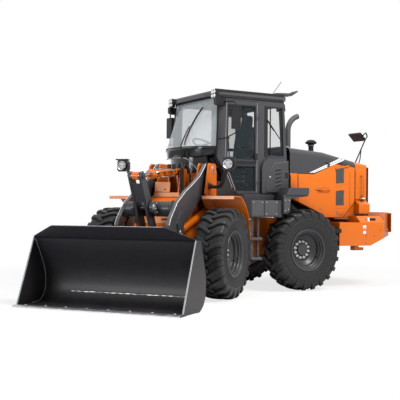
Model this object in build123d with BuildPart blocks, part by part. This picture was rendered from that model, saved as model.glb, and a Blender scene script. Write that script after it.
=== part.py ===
from build123d import *
from math import cos, radians, sin
import os

# A 1.3 cubic metre articulated wheel loader, in millimetres. Z is up, the wheels and the bucket
# stand on Z = 0, and +X is forward along the rear frame. The front frame is turned to the left
# about the articulation pivot. Sizes are given from the pivot: x forward, y left, z up. Sizes of
# pieces on the front frame are given along that frame, before it is turned.

# ---- driving sizes -----------------------------------------------------------------------------
wheelbase = 2600            # axle to axle, with the pivot halfway
track = 1725                # middle of the left tyre to middle of the right one
articulation = 36.84        # how far the front frame is turned to the left, in degrees
tyre_radius = 640
tyre_width = 430
seat_gap = 0.3              # between pieces that rest on each other
pin_gap = 0.3               # round a pin in its bore
swing_gap = 5               # between pieces that move past each other

# bucket
bucket_half = 1170          # half of its width
lip_x = 3417                # front of the cutting edge
bucket_pin = (2460, 280)    # hinge on the lift arms, x and z
bucket_wall = 16
guard_half = 783            # half width of the spill guard's top edge

# counterweight
weight_rear = 3370          # its rear face, behind the pivot
weight_half = 1000

# ---- the two frames of reference -----------------------------------------------------------------
turn = radians(articulation)
right_reach = track / 2 + tyre_width / 2
front_reach = lip_x * cos(turn) + bucket_half * sin(turn)
left_reach = lip_x * sin(turn) + bucket_half * cos(turn)
pivot_x = (weight_rear - front_reach) / 2
pivot_y = (right_reach - left_reach) / 2

rear = Plane(origin=(pivot_x, pivot_y, 0), x_dir=(1, 0, 0), z_dir=(0, 0, 1))
front = Plane(origin=(pivot_x, pivot_y, 0), x_dir=(cos(turn), sin(turn), 0), z_dir=(0, 0, 1))


def side(frame, y=0):
    """Upright plane along the machine, at y from its middle: local x forward, local y up."""
    return Plane(frame.from_local_coords((0, y, 0)), x_dir=frame.x_dir, z_dir=-frame.y_dir)


def across(frame, x=0):
    """Upright plane across the machine, at x from the pivot: local x left, local y up."""
    return Plane(frame.from_local_coords((x, 0, 0)), x_dir=frame.y_dir, z_dir=frame.x_dir)


def level(frame, z=0):
    """Level plane at height z: local x forward, local y left."""
    return Plane(frame.from_local_coords((0, 0, z)), x_dir=frame.x_dir, z_dir=(0, 0, 1))


def save(piece, name):
    """Label a finished piece and write it as its own file."""
    piece.label = name
    export_step(piece, "parts/" + name + ".step")


os.makedirs("parts", exist_ok=True)

# ---- wheels --------------------------------------------------------------------------------------
rim_radius = 305            # bead seat
flange_radius = 330
rim_half = 190              # half of the rim's width
disc_face = 846             # inner face of the wheel disc, from the middle of the machine
disc_thick = 16
nut_circle = 130
nut_count = 12
hub_radius = 175
lug_count = 22
lug_height = 32
casing_radius = tyre_radius - lug_height
axle_z = tyre_radius

wheel_rows = (
    # name, frame, x of the axle, side of the machine
    ("front_left", front, wheelbase / 2, 1),
    ("front_right", front, wheelbase / 2, -1),
    ("rear_left", rear, -wheelbase / 2, 1),
    ("rear_right", rear, -wheelbase / 2, -1),
)

# One tyre about Z: sidewalls that bulge over the rim, a slightly crowned casing, and two rows of
# raised lugs that slant forward from each shoulder to the middle, one row half a step behind.
half = tyre_width / 2
with BuildPart() as treads:
    for row in (1, -1):
        for step in range(lug_count):
            spin = 360 / lug_count * (step + 0.25 * row)
            crown = Plane.XY.rotated((0, 0, spin))
            lug_plane = Plane(
                crown.x_dir * tyre_radius, x_dir=(0, 0, 1), z_dir=-crown.x_dir
            )
            with BuildSketch(lug_plane):
                Polygon(
                    (row * -20, 95),
                    (row * 85, 36),
                    (row * 225, -2),
                    (row * 225, -68),
                    (row * 75, -32),
                    (row * -20, 34),
                    align=None,
                )
            extrude(amount=lug_height + 70)
    with BuildSketch(Plane.XZ):
        Polygon(
            (casing_radius - 70, -half + 4),
            (tyre_radius - 45, -half),
            (tyre_radius - 10, -half + 28),
            (tyre_radius, 0),
            (tyre_radius - 10, half - 28),
            (tyre_radius - 45, half),
            (casing_radius - 70, half - 4),
            align=None,
        )
    revolve(axis=Axis.Z, mode=Mode.INTERSECT)

with BuildPart() as tyre:
    with BuildSketch(Plane.XZ):
        Polygon(
            (rim_radius, -rim_half + 8),
            (flange_radius + 12, -rim_half + 8),
            (flange_radius + 125, -half + 8),
            (casing_radius - 95, -half + 8),
            (casing_radius - 12, -half + 42),
            (casing_radius, 0),
            (casing_radius - 12, half - 42),
            (casing_radius - 95, half - 8),
            (flange_radius + 125, half - 8),
            (flange_radius + 12, rim_half - 8),
            (rim_radius, rim_half - 8),
            align=None,
        )
    revolve(axis=Axis.Z)
    add(treads.part)

for wheel_name, frame, wheel_x, hand in wheel_rows:
    centre = Plane(
        frame.from_local_coords((wheel_x, hand * track / 2, axle_z)),
        x_dir=frame.x_dir,
        z_dir=frame.y_dir * hand,
    )
    section = Plane(centre.origin, x_dir=centre.z_dir, z_dir=centre.x_dir)
    middle = Plane(centre.origin, x_dir=frame.x_dir, z_dir=frame.y_dir)
    save(middle.location * tyre.part, "tyre_" + wheel_name)

    # Rim and its deep dish: one turned wall, the disc with its nuts, and the hub cap.
    face = disc_face - track / 2
    with BuildPart() as rim:
        with BuildSketch(section):
            with BuildLine():
                Polyline(
                    (-rim_half, flange_radius),
                    (-rim_half, rim_radius - 22),
                    (-rim_half + 60, rim_radius - 40),
                    (face, rim_radius - 40),
                    (face, 60),
                    (face + disc_thick, 60),
                    (face + disc_thick, hub_radius),
                    (face + disc_thick + 22, rim_radius - 40),
                    (rim_half - 40, rim_radius - 30),
                    (rim_half, rim_radius - 16),
                    (rim_half, flange_radius),
                    (rim_half - 8 + seat_gap, flange_radius),
                    (rim_half - 8 + seat_gap, rim_radius - seat_gap),
                    (-rim_half + 8 - seat_gap, rim_radius - seat_gap),
                    (-rim_half + 8 - seat_gap, flange_radius),
                    close=True,
                )
            make_face()
        revolve(axis=Axis(centre.origin, centre.z_dir))
        with BuildSketch(centre.offset(face)):
            Circle(hub_radius - 70)
        extrude(amount=disc_thick + 18)
        with BuildSketch(centre.offset(face + disc_thick)):
            with PolarLocations(nut_circle, nut_count):
                RegularPolygon(16, 6)
        extrude(amount=20)
    save(rim.part, "rim_" + wheel_name)

# ---- axles ---------------------------------------------------------------------------------------
axle_tube = 95
diff_radius = 170
diff_half = 150             # half the width of the differential's bowl
hub_flange = 165
hub_inner = 600             # inner face of a hub flange, from the middle of the machine
shaft_z = 725               # drive shaft, above the lower hinge
shaft_radius = 32
trunnion_radius = 70
trunnion_half = 290         # half the length of the rear axle's trunnion
front_pad_top = 830         # underside of the front frame

for axle_name, frame, axle_x, hand in (("front", front, wheelbase / 2, -1),
                                       ("rear", rear, -wheelbase / 2, 1)):
    with BuildPart() as axle:
        with BuildSketch(side(frame)):
            with Locations((axle_x, axle_z)):
                Circle(axle_tube)
        extrude(amount=hub_inner + 40, both=True)
        with BuildSketch(side(frame)):
            with Locations((axle_x, axle_z)):
                Circle(diff_radius)
        extrude(amount=diff_half, both=True)
        for end in (1, -1):
            with BuildSketch(side(frame, end * hub_inner)):
                with Locations((axle_x, axle_z)):
                    Circle(hub_flange)
            extrude(amount=-end * (disc_face - seat_gap - hub_inner))
        # drive shaft towards the pivot
        with BuildSketch(across(frame, axle_x)):
            with Locations((0, shaft_z)):
                Circle(shaft_radius)
        extrude(amount=hand * (abs(axle_x) - 60))
        with BuildSketch(across(frame, axle_x)):
            with Locations((0, shaft_z - 20)):
                Circle(100)
        extrude(amount=hand * (diff_radius + 20))
        if axle_name == "rear":
            with BuildSketch(across(frame, axle_x)):
                with Locations((0, axle_z)):
                    Circle(trunnion_radius)
            extrude(amount=trunnion_half, both=True)
        else:
            for pad_y in (-270, 270):
                with BuildSketch(level(frame, axle_z)):
                    with Locations((axle_x, pad_y)):
                        Rectangle(200, 120)
                extrude(amount=front_pad_top - seat_gap - axle_z)
    save(axle.part, axle_name + "_axle")

# ---- articulation and frames -----------------------------------------------------------------------
plate = 25                  # frame plate
hinge_nose = 130            # radius of the hinge plates round the pin
hinge_pin = 35
upper_hinge = 1050          # underside of the rear frame's upper hinge plate
lower_hinge = 560
hinge_plate = 40
fork_plate = 35
steer_z = 830               # height of the steering cylinders
steer_lug = 15              # thickness of a steering cylinder lug
steer_half = 36             # half the height of a steering cylinder's eye
steer_pin = 18
steer_base = (-620, 440)    # base pins on the rear frame, x and y
steer_eye = (200, 300)      # eyes on the front frame
lug_play = 0.5              # beside an eye between its lugs

rail_y = 350                # outer face of the rear frame's rails
rail_top = 1140
neck_y = 250
neck_front = -330
bulkhead_x = -700
rear_end = -2900
rear_axle_x = -wheelbase / 2
cradle_x = (rear_axle_x + 240, rear_axle_x - 260)

with BuildPart() as rear_frame:
    for y in (-rail_y, rail_y - plate):
        with BuildSketch(side(rear, y)):
            Polygon(
                (bulkhead_x - plate, rail_top), (bulkhead_x - plate, 500),
                (rear_axle_x + 400, 560), (rear_axle_x + 290, 540), (cradle_x[0], 540),
                (rear_axle_x + 150, 800), (rear_axle_x - 150, 800), (cradle_x[1], 540),
                (rear_axle_x - 310, 540), (rear_axle_x - 420, 640), (-2350, 640),
                (rear_end, 720), (rear_end, 1110), align=None,
            )
        extrude(amount=-plate)
    for y in (-neck_y, neck_y - plate):
        with BuildSketch(side(rear, y)):
            Polygon(
                (neck_front, rail_top), (neck_front, 520), (bulkhead_x, 480),
                (bulkhead_x, rail_top), align=None,
            )
        extrude(amount=-plate)
    with BuildSketch(across(rear, bulkhead_x - plate)):
        with Locations((0, (rail_top + 480) / 2)):
            Rectangle(2 * rail_y, rail_top - 480)
        with Locations((0, shaft_z)):
            Circle(70, mode=Mode.SUBTRACT)
    extrude(amount=plate)
    for z in (upper_hinge, lower_hinge):
        with BuildSketch(level(rear, z)):
            Circle(hinge_nose)
            Polygon(
                (50, 120), (neck_front, neck_y + 20), (bulkhead_x - plate, rail_y),
                (bulkhead_x - plate, -rail_y), (neck_front, -neck_y - 20), (50, -120),
                align=None,
            )
            Circle(hinge_pin + pin_gap, mode=Mode.SUBTRACT)
        extrude(amount=hinge_plate)
    for hand in (1, -1):
        for z in (steer_z - steer_half - lug_play - steer_lug, steer_z + steer_half + lug_play):
            with BuildSketch(level(rear, z)):
                Polygon(
                    (-800, hand * (rail_y - 5)), (bulkhead_x - 2, hand * (rail_y - 5)),
                    (-595, hand * 400), (-585, hand * 470), (-640, hand * 480),
                    (-800, hand * 385), align=None,
                )
            extrude(amount=steer_lug)
        with BuildSketch(level(rear, steer_z - 55)):
            with Locations((steer_base[0], hand * steer_base[1])):
                Circle(steer_pin)
        extrude(amount=110)
    for x in cradle_x:
        with BuildSketch(across(rear, x)):
            with Locations((0, 670)):
                Rectangle(2 * rail_y - plate, 260)
            with Locations((0, axle_z)):
                Circle(trunnion_radius + pin_gap, mode=Mode.SUBTRACT)
            if x == cradle_x[0]:
                with Locations((0, shaft_z)):
                    Circle(55, mode=Mode.SUBTRACT)
        extrude(amount=plate if x == cradle_x[1] else -plate)
    for x in (-2500, rear_end):
        with BuildSketch(across(rear, x)):
            with Locations((0, 900)):
                Rectangle(2 * rail_y, 200)
        extrude(amount=plate)
    with BuildSketch(level(rear, rail_top)):
        with Locations((-900, 0)):
            Rectangle(400, 2 * rail_y)
    extrude(amount=-plate)
save(rear_frame.part, "rear_frame")

# Front frame: two side plates that rise to the lift arm hinges, an outer lug beside each, the
# fork plates with the two hinge pins, and the tower that carries the tilt cylinder.
arm_hinge = (780, 1850)
tilt_base = (1010, 1810)
lift_base = (800, 1250)      # lower end of the lift cylinders, under the arm hinges
lift_eye = (1800, 930)
cheek_y = 305               # inner face of the side plates
arm_thick = 55
arm_y = 362                 # inner face of a lift arm
lug_gap = 7                 # between a lift arm and its lugs
outer_lug_y = 490           # outer face of the outer lugs
arm_hinge_pin = 38
arm_collar = 30
lift_pin = 28
tower_y = 75                # inner face of the tilt cylinder's tower plates
tilt_pin = 30
fork_x = 330

nose_x = wheelbase / 2 + 340         # front end of the side plates
cheek_outline = (
    (fork_x, 520), (fork_x, 1130), (600, 1250), (655, 1560), (668, 1900), (700, 1940),
    (900, 1940), (945, 1900), (1060, 1490), (nose_x - 160, 1280), (nose_x, 1000),
    (nose_x, front_pad_top), (980, front_pad_top), (820, 520),
)
lug_outline = (
    (668, 1200), (668, 1900), (700, 1940), (900, 1940), (945, 1900), (1060, 1490), (900, 1190),
)

with BuildPart() as front_frame:
    for y in (-cheek_y, cheek_y + plate):
        with BuildSketch(side(front, y)):
            Polygon(*cheek_outline, align=None)
        extrude(amount=plate)
    for hand in (1, -1):
        outer = hand * outer_lug_y
        with BuildSketch(side(front, outer)):
            Polygon(*lug_outline, align=None)
        extrude(amount=hand * plate)
        middle_y = hand * (cheek_y + outer_lug_y) / 2
        lug_span = outer_lug_y - cheek_y
        with BuildSketch(across(front, 645)):
            with Locations((middle_y, 1520)):
                Rectangle(lug_span, 640)
        extrude(amount=24)
        with BuildSketch(side(front, hand * (cheek_y + 5))):
            with Locations(arm_hinge):
                Circle(arm_hinge_pin)
            with Locations(lift_base):
                Circle(lift_pin)
        extrude(amount=-hand * (outer_lug_y + 15 - cheek_y))
        # steering cylinder lugs
        for z in (steer_z - steer_half - lug_play - steer_lug, steer_z + steer_half + lug_play):
            with BuildSketch(level(front, z)):
                Polygon(
                    (fork_x + 5, hand * 230), (fork_x + 5, hand * 352), (240, hand * 340),
                    (165, hand * 325), (165, hand * 275), (220, hand * 250), align=None,
                )
            extrude(amount=steer_lug)
    with BuildSketch(across(front, fork_x)):
        with Locations((0, 825)):
            Rectangle(2 * cheek_y + 2 * plate, 610)
        with Locations((0, shaft_z)):
            Circle(70, mode=Mode.SUBTRACT)
    extrude(amount=plate)
    for base in (upper_hinge, lower_hinge):
        for z in (base - swing_gap - fork_plate, base + hinge_plate + swing_gap):
            with BuildSketch(level(front, z)):
                Circle(hinge_nose)
                Polygon(
                    (-50, 120), (fork_x + 10, 300), (fork_x + 10, -300), (-50, -120),
                    align=None,
                )
            extrude(amount=fork_plate)
        with BuildSketch(level(front, base - swing_gap - fork_plate - 10)):
            Circle(hinge_pin)
        extrude(amount=2 * fork_plate + hinge_plate + 2 * swing_gap + 20)
    with BuildSketch(level(front, front_pad_top)):
        with Locations(((980 + nose_x) / 2, 0)):
            Rectangle(nose_x - 980, 2 * cheek_y)
    extrude(amount=plate)
    with BuildSketch(side(front)):
        Polygon(
            (655, 1560), (1060, 1480), (nose_x - 160, 1265), (nose_x - 10, 1000),
            (nose_x - 10, front_pad_top), (nose_x - 35, front_pad_top), (nose_x - 35, 1000),
            (nose_x - 175, 1240), (1050, 1455), (650, 1535), align=None,
        )
    extrude(amount=cheek_y, both=True)
    for y in (-tower_y, tower_y + plate):
        with BuildSketch(side(front, y)):
            Polygon(
                (800, 1500), (880, 1880), (1000, 1890), (1075, 1850), (1090, 1780),
                (1150, 1400), align=None,
            )
        extrude(amount=plate)
    with BuildSketch(side(front)):
        with Locations(tilt_base):
            Circle(tilt_pin)
    extrude(amount=tower_y + plate + 12, both=True)
save(front_frame.part, "front_frame")

# ---- lift arms, bell crank, link and bucket ---------------------------------------------------------
bell_hinge = (2070, 1280)
bell_top = (2290, 1700)
bell_foot = (1750, 620)
link_pin = (2550, 500)      # link to bucket
tube_centre = (1880, 1260)
tube_radius = 105
pin_radius = 32
clevis_plate = 18
lift_relief = 72             # notch in the arm round the lift cylinder's eye
bell_y = 62                 # inner face of a bell crank plate
bell_thick = 36
bell_boss_y = 118           # outer face of the bell crank's bracket plates, inside
link_half = 45
clevis_y = 55               # inner face of the bucket's middle lugs
clevis_thick = 30

arm_outline = (
    (2520, 215), (2540, 300), (2480, 360), (2330, 540), (2190, 880), (2130, 1040), (2080, 1130),
    (1870, 1350), (1610, 1500), (1430, 1580), (1100, 1740), (870, 1930), (790, 1950),
    (700, 1910), (682, 1840), (715, 1765), (920, 1520), (1320, 1250), (1780, 1000), (1860, 930),
    (2000, 700), (2170, 420), (2330, 230), (2440, 180),
)
with BuildPart() as lift_arms:
    for hand in (1, -1):
        with BuildSketch(side(front, hand * arm_y)):
            Polygon(*arm_outline, align=None)
            with Locations(arm_hinge):
                Circle(arm_hinge_pin + pin_gap, mode=Mode.SUBTRACT)
            with Locations(bucket_pin):
                Circle(pin_radius + pin_gap, mode=Mode.SUBTRACT)
            with Locations(lift_eye):
                Circle(lift_relief, mode=Mode.SUBTRACT)
        extrude(amount=-hand * arm_thick)
        # collars that fill the gap to the hinge lugs
        for face_y, collar in ((arm_y - arm_collar, arm_collar), (arm_y + arm_thick, arm_collar)):
            with BuildSketch(side(front, hand * face_y)):
                with Locations(arm_hinge):
                    Circle(78)
                    Circle(arm_hinge_pin + pin_gap, mode=Mode.SUBTRACT)
            extrude(amount=-hand * collar)
        # clevis for the lift cylinder's eye, a plate on each face of the arm
        for face_y in (arm_y - clevis_plate, arm_y + arm_thick):
            with BuildSketch(side(front, hand * face_y)):
                with Locations(lift_eye):
                    Circle(58)
                Polygon(
                    (lift_eye[0] - 55, lift_eye[1] - 18), (1640, 1150), (1760, 1230),
                    (1900, 1060), (lift_eye[0] + 57, lift_eye[1] + 8), align=None,
                )
            extrude(amount=-hand * clevis_plate)
        # bell crank brackets on the cross tube
        with BuildSketch(side(front, hand * bell_boss_y)):
            with Locations(bell_hinge):
                Circle(75)
            Polygon(
                (tube_centre[0], tube_centre[1] + 100), (bell_hinge[0], bell_hinge[1] + 74),
                (bell_hinge[0], bell_hinge[1] - 74), (tube_centre[0], tube_centre[1] - 100),
                align=None,
            )
        extrude(amount=-hand * 40)
    with BuildSketch(side(front)):
        with Locations(tube_centre):
            Circle(tube_radius)
    extrude(amount=arm_y, both=True)
    with BuildSketch(side(front)):
        with Locations(bell_hinge):
            Circle(pin_radius)
    extrude(amount=bell_boss_y, both=True)
save(lift_arms.part, "lift_arms")

# Bell crank: two plates that swing on the bracket pin, with the link between their lower ends.
with BuildPart() as bell_crank:
    for hand in (1, -1):
        with BuildSketch(side(front, hand * bell_y)):
            Polygon(
                (bell_top[0] - 60, bell_top[1] + 20), (bell_top[0] - 10, bell_top[1] + 62),
                (bell_top[0] + 50, bell_top[1] + 40), (bell_top[0] + 60, bell_top[1] - 20),
                (bell_hinge[0] + 105, bell_hinge[1] + 30), (bell_hinge[0] + 60, bell_hinge[1] - 90),
                (bell_foot[0] + 70, bell_foot[1] - 30), (bell_foot[0] + 20, bell_foot[1] - 68),
                (bell_foot[0] - 50, bell_foot[1] - 50), (bell_foot[0] - 65, bell_foot[1] + 20),
                (bell_hinge[0] - 95, bell_hinge[1] - 40), (bell_hinge[0] - 60, bell_hinge[1] + 80),
                align=None,
            )
            with Locations(bell_hinge):
                Circle(pin_radius + pin_gap, mode=Mode.SUBTRACT)
            with Locations(tube_centre):
                Circle(tube_radius + 12, mode=Mode.SUBTRACT)
        extrude(amount=-hand * bell_thick)
        with BuildSketch(side(front, hand * (bell_y + bell_thick))):
            with Locations(bell_top, bell_foot):
                Circle(38)
        extrude(amount=-hand * 12)
    with BuildSketch(side(front, -bell_y)):
        with Locations((bell_hinge[0] + 50, bell_hinge[1] + 150)):
            Rectangle(60, 60)
    extrude(amount=-2 * bell_y)
save(bell_crank.part, "bell_crank")

with BuildPart() as bucket_link:
    with BuildSketch(side(front)):
        with Locations(bell_foot, link_pin):
            Circle(62)
        Polygon(
            (bell_foot[0] + 5, bell_foot[1] + 45), (link_pin[0] + 5, link_pin[1] + 45),
            (link_pin[0] - 5, link_pin[1] - 45), (bell_foot[0] - 5, bell_foot[1] - 45),
            align=None,
        )
        with Locations(link_pin):
            Circle(pin_radius + pin_gap, mode=Mode.SUBTRACT)
    extrude(amount=link_half, both=True)
save(bucket_link.part, "bucket_link")

# Bucket: a rolled shell between two cheek plates, a spill guard, the cutting edge and its lugs.
shell_rear = 2641
with BuildPart() as bucket:
    with BuildSketch(side(front)):
        with BuildLine():
            l1 = Line((3300, 0), (2860, 0))
            a1 = ThreePointArc((2860, 0), (2700, 90), (shell_rear, 280))
            l2 = Line((shell_rear, 280), (shell_rear, 420))
            l3 = Polyline(
                (shell_rear, 420), (2800, 870), (2960, 900), (3087, 1039), (3098, 1028),
                (2972, 886), (2945, 878), (2930, 860), (shell_rear + 16, 415),
                (shell_rear + 16, 280),
            )
            a2 = ThreePointArc((shell_rear + 16, 280), (2712, 102), (2860, 16))
            l4 = Polyline((2860, 16), (3300, 16), (3300, 0))
        make_face()
    extrude(amount=bucket_half - bucket_wall, both=True)
    with BuildSketch(across(front, 2950)):
        for hand in (1, -1):
            Polygon(
                (hand * guard_half, 1045), (hand * (bucket_half + 5), 884),
                (hand * (bucket_half + 5), 1045), align=None,
            )
    extrude(amount=200, mode=Mode.SUBTRACT)
    for hand in (1, -1):
        with BuildSketch(side(front, hand * (bucket_half - bucket_wall))):
            with BuildLine():
                Line((3300, 20), (2860, 0))
                ThreePointArc((2860, 0), (2700, 90), (shell_rear, 280))
                Line((shell_rear, 280), (shell_rear, 420))
                Polyline((shell_rear, 420), (2800, 870), (2945, 884), (3310, 40), (3300, 20))
            make_face()
        extrude(amount=-hand * bucket_wall)
    # cutting edge
    with BuildSketch(side(front)):
        Polygon((lip_x, 0), (lip_x, 8), (3390, 25), (3230, 25), (3230, 0), align=None)
    extrude(amount=bucket_half, both=True)
    # lugs for the lift arms
    for hand in (1, -1):
        for inner in (arm_y - lug_gap - 25, arm_y + arm_thick + lug_gap):
            with BuildSketch(side(front, hand * inner)):
                with Locations(bucket_pin):
                    Circle(75)
                Polygon(
                    (bucket_pin[0] - 40, bucket_pin[1] + 62), (shell_rear + 8, 560),
                    (shell_rear + 8, 170), (bucket_pin[0] + 10, bucket_pin[1] - 74), align=None,
                )
            extrude(amount=-hand * 25)
        with BuildSketch(side(front, hand * (arm_y - lug_gap - 35))):
            with Locations(bucket_pin):
                Circle(pin_radius)
        extrude(amount=-hand * (arm_thick + 2 * lug_gap + 70))
        # middle lugs for the link
        with BuildSketch(side(front, hand * clevis_y)):
            with Locations(link_pin):
                Circle(70)
            Polygon(
                (link_pin[0] - 30, link_pin[1] + 63), (2720, 640), (shell_rear + 8, 280),
                (link_pin[0] - 30, link_pin[1] - 63), align=None,
            )
        extrude(amount=-hand * clevis_thick)
    with BuildSketch(side(front)):
        with Locations(link_pin):
            Circle(pin_radius)
    extrude(amount=clevis_y + clevis_thick + 12, both=True)
save(bucket.part, "bucket")

# ---- cylinders --------------------------------------------------------------------------------------
def reach(frame_a, start, frame_b, end):
    """Distance between a pin on one frame and a pin on the other, both as (x, y, z)."""
    return (frame_b.from_local_coords(end) - frame_a.from_local_coords(start)).length


def facing(frame_a, start, frame_b, end):
    """Plane at a cylinder's base pin that faces the pin at its other end."""
    a = frame_a.from_local_coords(start)
    b = frame_b.from_local_coords(end)
    return Plane(a, x_dir=(b - a).cross(Vector(0, 0, 1)), z_dir=b - a)


arm_middle = arm_y + arm_thick / 2
cylinder_rows = (
    # group, base pin's frame and place, eye's frame and place, upright pins?, barrel length,
    # rod length, barrel radius, rod radius, eye radius, base pin radius, half width of the eyes
    ("lift_%ss", front, (lift_base[0], arm_middle, lift_base[1]),
     front, (lift_eye[0], arm_middle, lift_eye[1]), False, 915, 970, 52, 27, 44, lift_pin, 26),
    ("lift_%ss", front, (lift_base[0], -arm_middle, lift_base[1]),
     front, (lift_eye[0], -arm_middle, lift_eye[1]), False, 915, 970, 52, 27, 44, lift_pin, 26),
    ("tilt_%s", front, (tilt_base[0], 0, tilt_base[1]),
     front, (bell_top[0], 0, bell_top[1]), False, 900, 880, 58, 30, 50, tilt_pin, 55),
    ("steer_left_%s", rear, (steer_base[0], steer_base[1], steer_z),
     front, (steer_eye[0], steer_eye[1], steer_z), True, 535, 515, 34, 18, 32, steer_pin,
     steer_half),
    ("steer_right_%s", rear, (steer_base[0], -steer_base[1], steer_z),
     front, (steer_eye[0], -steer_eye[1], steer_z), True, 535, 515, 34, 18, 32, steer_pin,
     steer_half),
)
cap = 8                     # how far a barrel or rod reaches into its own eye
bore_floor = 30             # from the base eye's rim to the barrel's bore
for group in ("lift_%ss", "tilt_%s", "steer_left_%s", "steer_right_%s"):
    rows = [row[1:] for row in cylinder_rows if row[0] == group]
    with BuildPart() as barrels:
        for base, a, tip, b, upright, barrel, rod, barrel_r, rod_r, eye_r, pin, width in rows:
            axis = Vector(0, 0, 1) if upright else base.y_dir
            start = facing(base, a, tip, b)
            with BuildSketch(start.offset(eye_r - cap)):
                Circle(barrel_r)
            extrude(amount=barrel - eye_r + cap)
            with BuildSketch(Plane(start.origin, x_dir=start.z_dir, z_dir=axis)):
                Circle(eye_r)
            extrude(amount=width, both=True)
            with BuildSketch(Plane(start.origin, x_dir=start.z_dir, z_dir=axis)):
                Circle(pin + pin_gap)
            extrude(amount=width + 1, both=True, mode=Mode.SUBTRACT)
            with BuildSketch(start.offset(eye_r + bore_floor)):
                Circle(rod_r + pin_gap)
            extrude(amount=barrel, mode=Mode.SUBTRACT)
    save(barrels.part, group % "barrel")
    with BuildPart() as rods:
        for base, a, tip, b, upright, barrel, rod, barrel_r, rod_r, eye_r, pin, width in rows:
            axis = Vector(0, 0, 1) if upright else base.y_dir
            start = facing(base, a, tip, b)
            eye = start.offset(reach(base, a, tip, b))
            with BuildSketch(eye):
                Circle(rod_r)
            extrude(amount=-rod)
            with BuildSketch(Plane(eye.origin, x_dir=start.z_dir, z_dir=axis)):
                Circle(eye_r)
            extrude(amount=width, both=True)
    save(rods.part, group % "rod")

# ---- counterweight and engine ---------------------------------------------------------------------
weight_front = 2000
weight_low = 690
weight_top = 1070
tail_top = 1240
hitch_low = 560
shoulder_top = 1175
shoulder_x = (-2395, -2905)
tow_bore = 20
with BuildPart() as counterweight:
    with BuildSketch(level(rear, weight_low)):
        Polygon(
            (-weight_front, 950), (-2380, weight_half), (-2880, weight_half), (-weight_rear, 600),
            (-weight_rear, -600), (-2880, -weight_half), (-2380, -weight_half),
            (-weight_front, -950), align=None,
        )
    extrude(amount=tail_top - weight_low)
    with BuildSketch(side(rear)):
        Polygon(
            (-weight_front + 1, weight_top), (-2880, weight_top), (-3060, tail_top + 1),
            (-weight_front + 1, tail_top + 1), align=None,
        )
        Polygon(
            (-2610, weight_low - 1), (-2880, 800), (-weight_rear - 1, 840),
            (-weight_rear - 1, weight_low - 1), align=None,
        )
    extrude(amount=weight_half + 10, both=True, mode=Mode.SUBTRACT)
    with BuildSketch(level(rear, weight_low - 1)):
        with Locations(((rear_end - weight_front) / 2, 0)):
            Rectangle(-rear_end - weight_front + 2 * seat_gap, 2 * (rail_y + seat_gap))
    extrude(amount=600, mode=Mode.SUBTRACT)
    # shoulders beside the hood's tail, their outer edges bevelled
    for hand in (1, -1):
        with BuildSketch(across(rear, shoulder_x[0])):
            Polygon(
                (hand * 700, weight_top - 10), (hand * weight_half, weight_top - 10),
                (hand * weight_half, weight_top), (hand * (weight_half - 110), shoulder_top),
                (hand * 700, shoulder_top), align=None,
            )
        extrude(amount=shoulder_x[1] - shoulder_x[0])
    # tow hitch: two jaws below the rear face with an upright pin bore
    with BuildSketch(level(rear, hitch_low)):
        with Locations((-3180, 0)):
            Rectangle(200, 120)
    extrude(amount=300)
    with BuildSketch(level(rear, hitch_low + 50)):
        with Locations((-3260, 0)):
            Rectangle(180, 130)
    extrude(amount=70, mode=Mode.SUBTRACT)
    with BuildSketch(level(rear, hitch_low)):
        with Locations((-3240, 0)):
            Circle(tow_bore)
    extrude(amount=180, mode=Mode.SUBTRACT)
save(counterweight.part, "counterweight")

engine_top = 1700
with BuildPart() as engine:
    with BuildSketch(level(rear, 820)):
        with Locations((-2000, 0)):
            Rectangle(900, 2 * (rail_y - plate - seat_gap))
    extrude(amount=300)
    with BuildSketch(level(rear, 1120)):
        with Locations((-2000, 0)):
            Rectangle(900, 520)
    extrude(amount=engine_top - 1120)
save(engine.part, "engine_block")

# ---- hood -----------------------------------------------------------------------------------------
hood_half = 680
hood_front = -1200
hood_skin = 12
stack_x = -1650             # exhaust stack
stack_radius = 46
intake_x = -2140            # air intake with its precleaner
intake_radius = 45
hood_round = 90
hood_low = 1142
hood_back = -2911
corner = (-2785, 554)         # where the rear corners' bevel starts and ends, x and y
door_gap = 6
hood_seam = -2545           # front edge of the tail's top
door_front = -1352          # front edge of the side doors
cowl_low = 1850             # lower edge of the cowl
cowl_outline = (
    (hood_front + 1, cowl_low), (-1680, cowl_low), (-2120, 2033), (hood_seam + seat_gap, 1987),
    (hood_seam + seat_gap, 2400), (hood_front + 1, 2400),
)
seam_bend = 1390            # height where the tail's seam turns forward
seam_foot = -2285           # x of the seam at the hood's lower edge
tail_outline = (
    (seam_foot, hood_low - 1), (hood_seam, seam_bend), (hood_seam, 2400), (-3000, 2400),
    (-3000, hood_low - 1),
)
side_outline = (
    (door_front, cowl_low - door_gap), (-1681, cowl_low - door_gap), (-2120, 2033 - door_gap),
    (hood_seam + door_gap, 1987 - door_gap), (hood_seam + door_gap, seam_bend + 2),
    (seam_foot + door_gap + 2, hood_low - 1), (door_front, hood_low - 1),
)
fixed_outline = (
    (hood_front + 1, cowl_low - seat_gap), (door_front + door_gap, cowl_low - seat_gap),
    (door_front + door_gap, hood_low - 1), (hood_front + 1, hood_low - 1),
)
hood_hinge = (hood_half + 9, 2045)      # y and z of the side doors' hinge line
hood_hinge_x = (-1960, -2260)
knuckle = 40                # length of one hinge knuckle
knuckle_radius = 8


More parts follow.
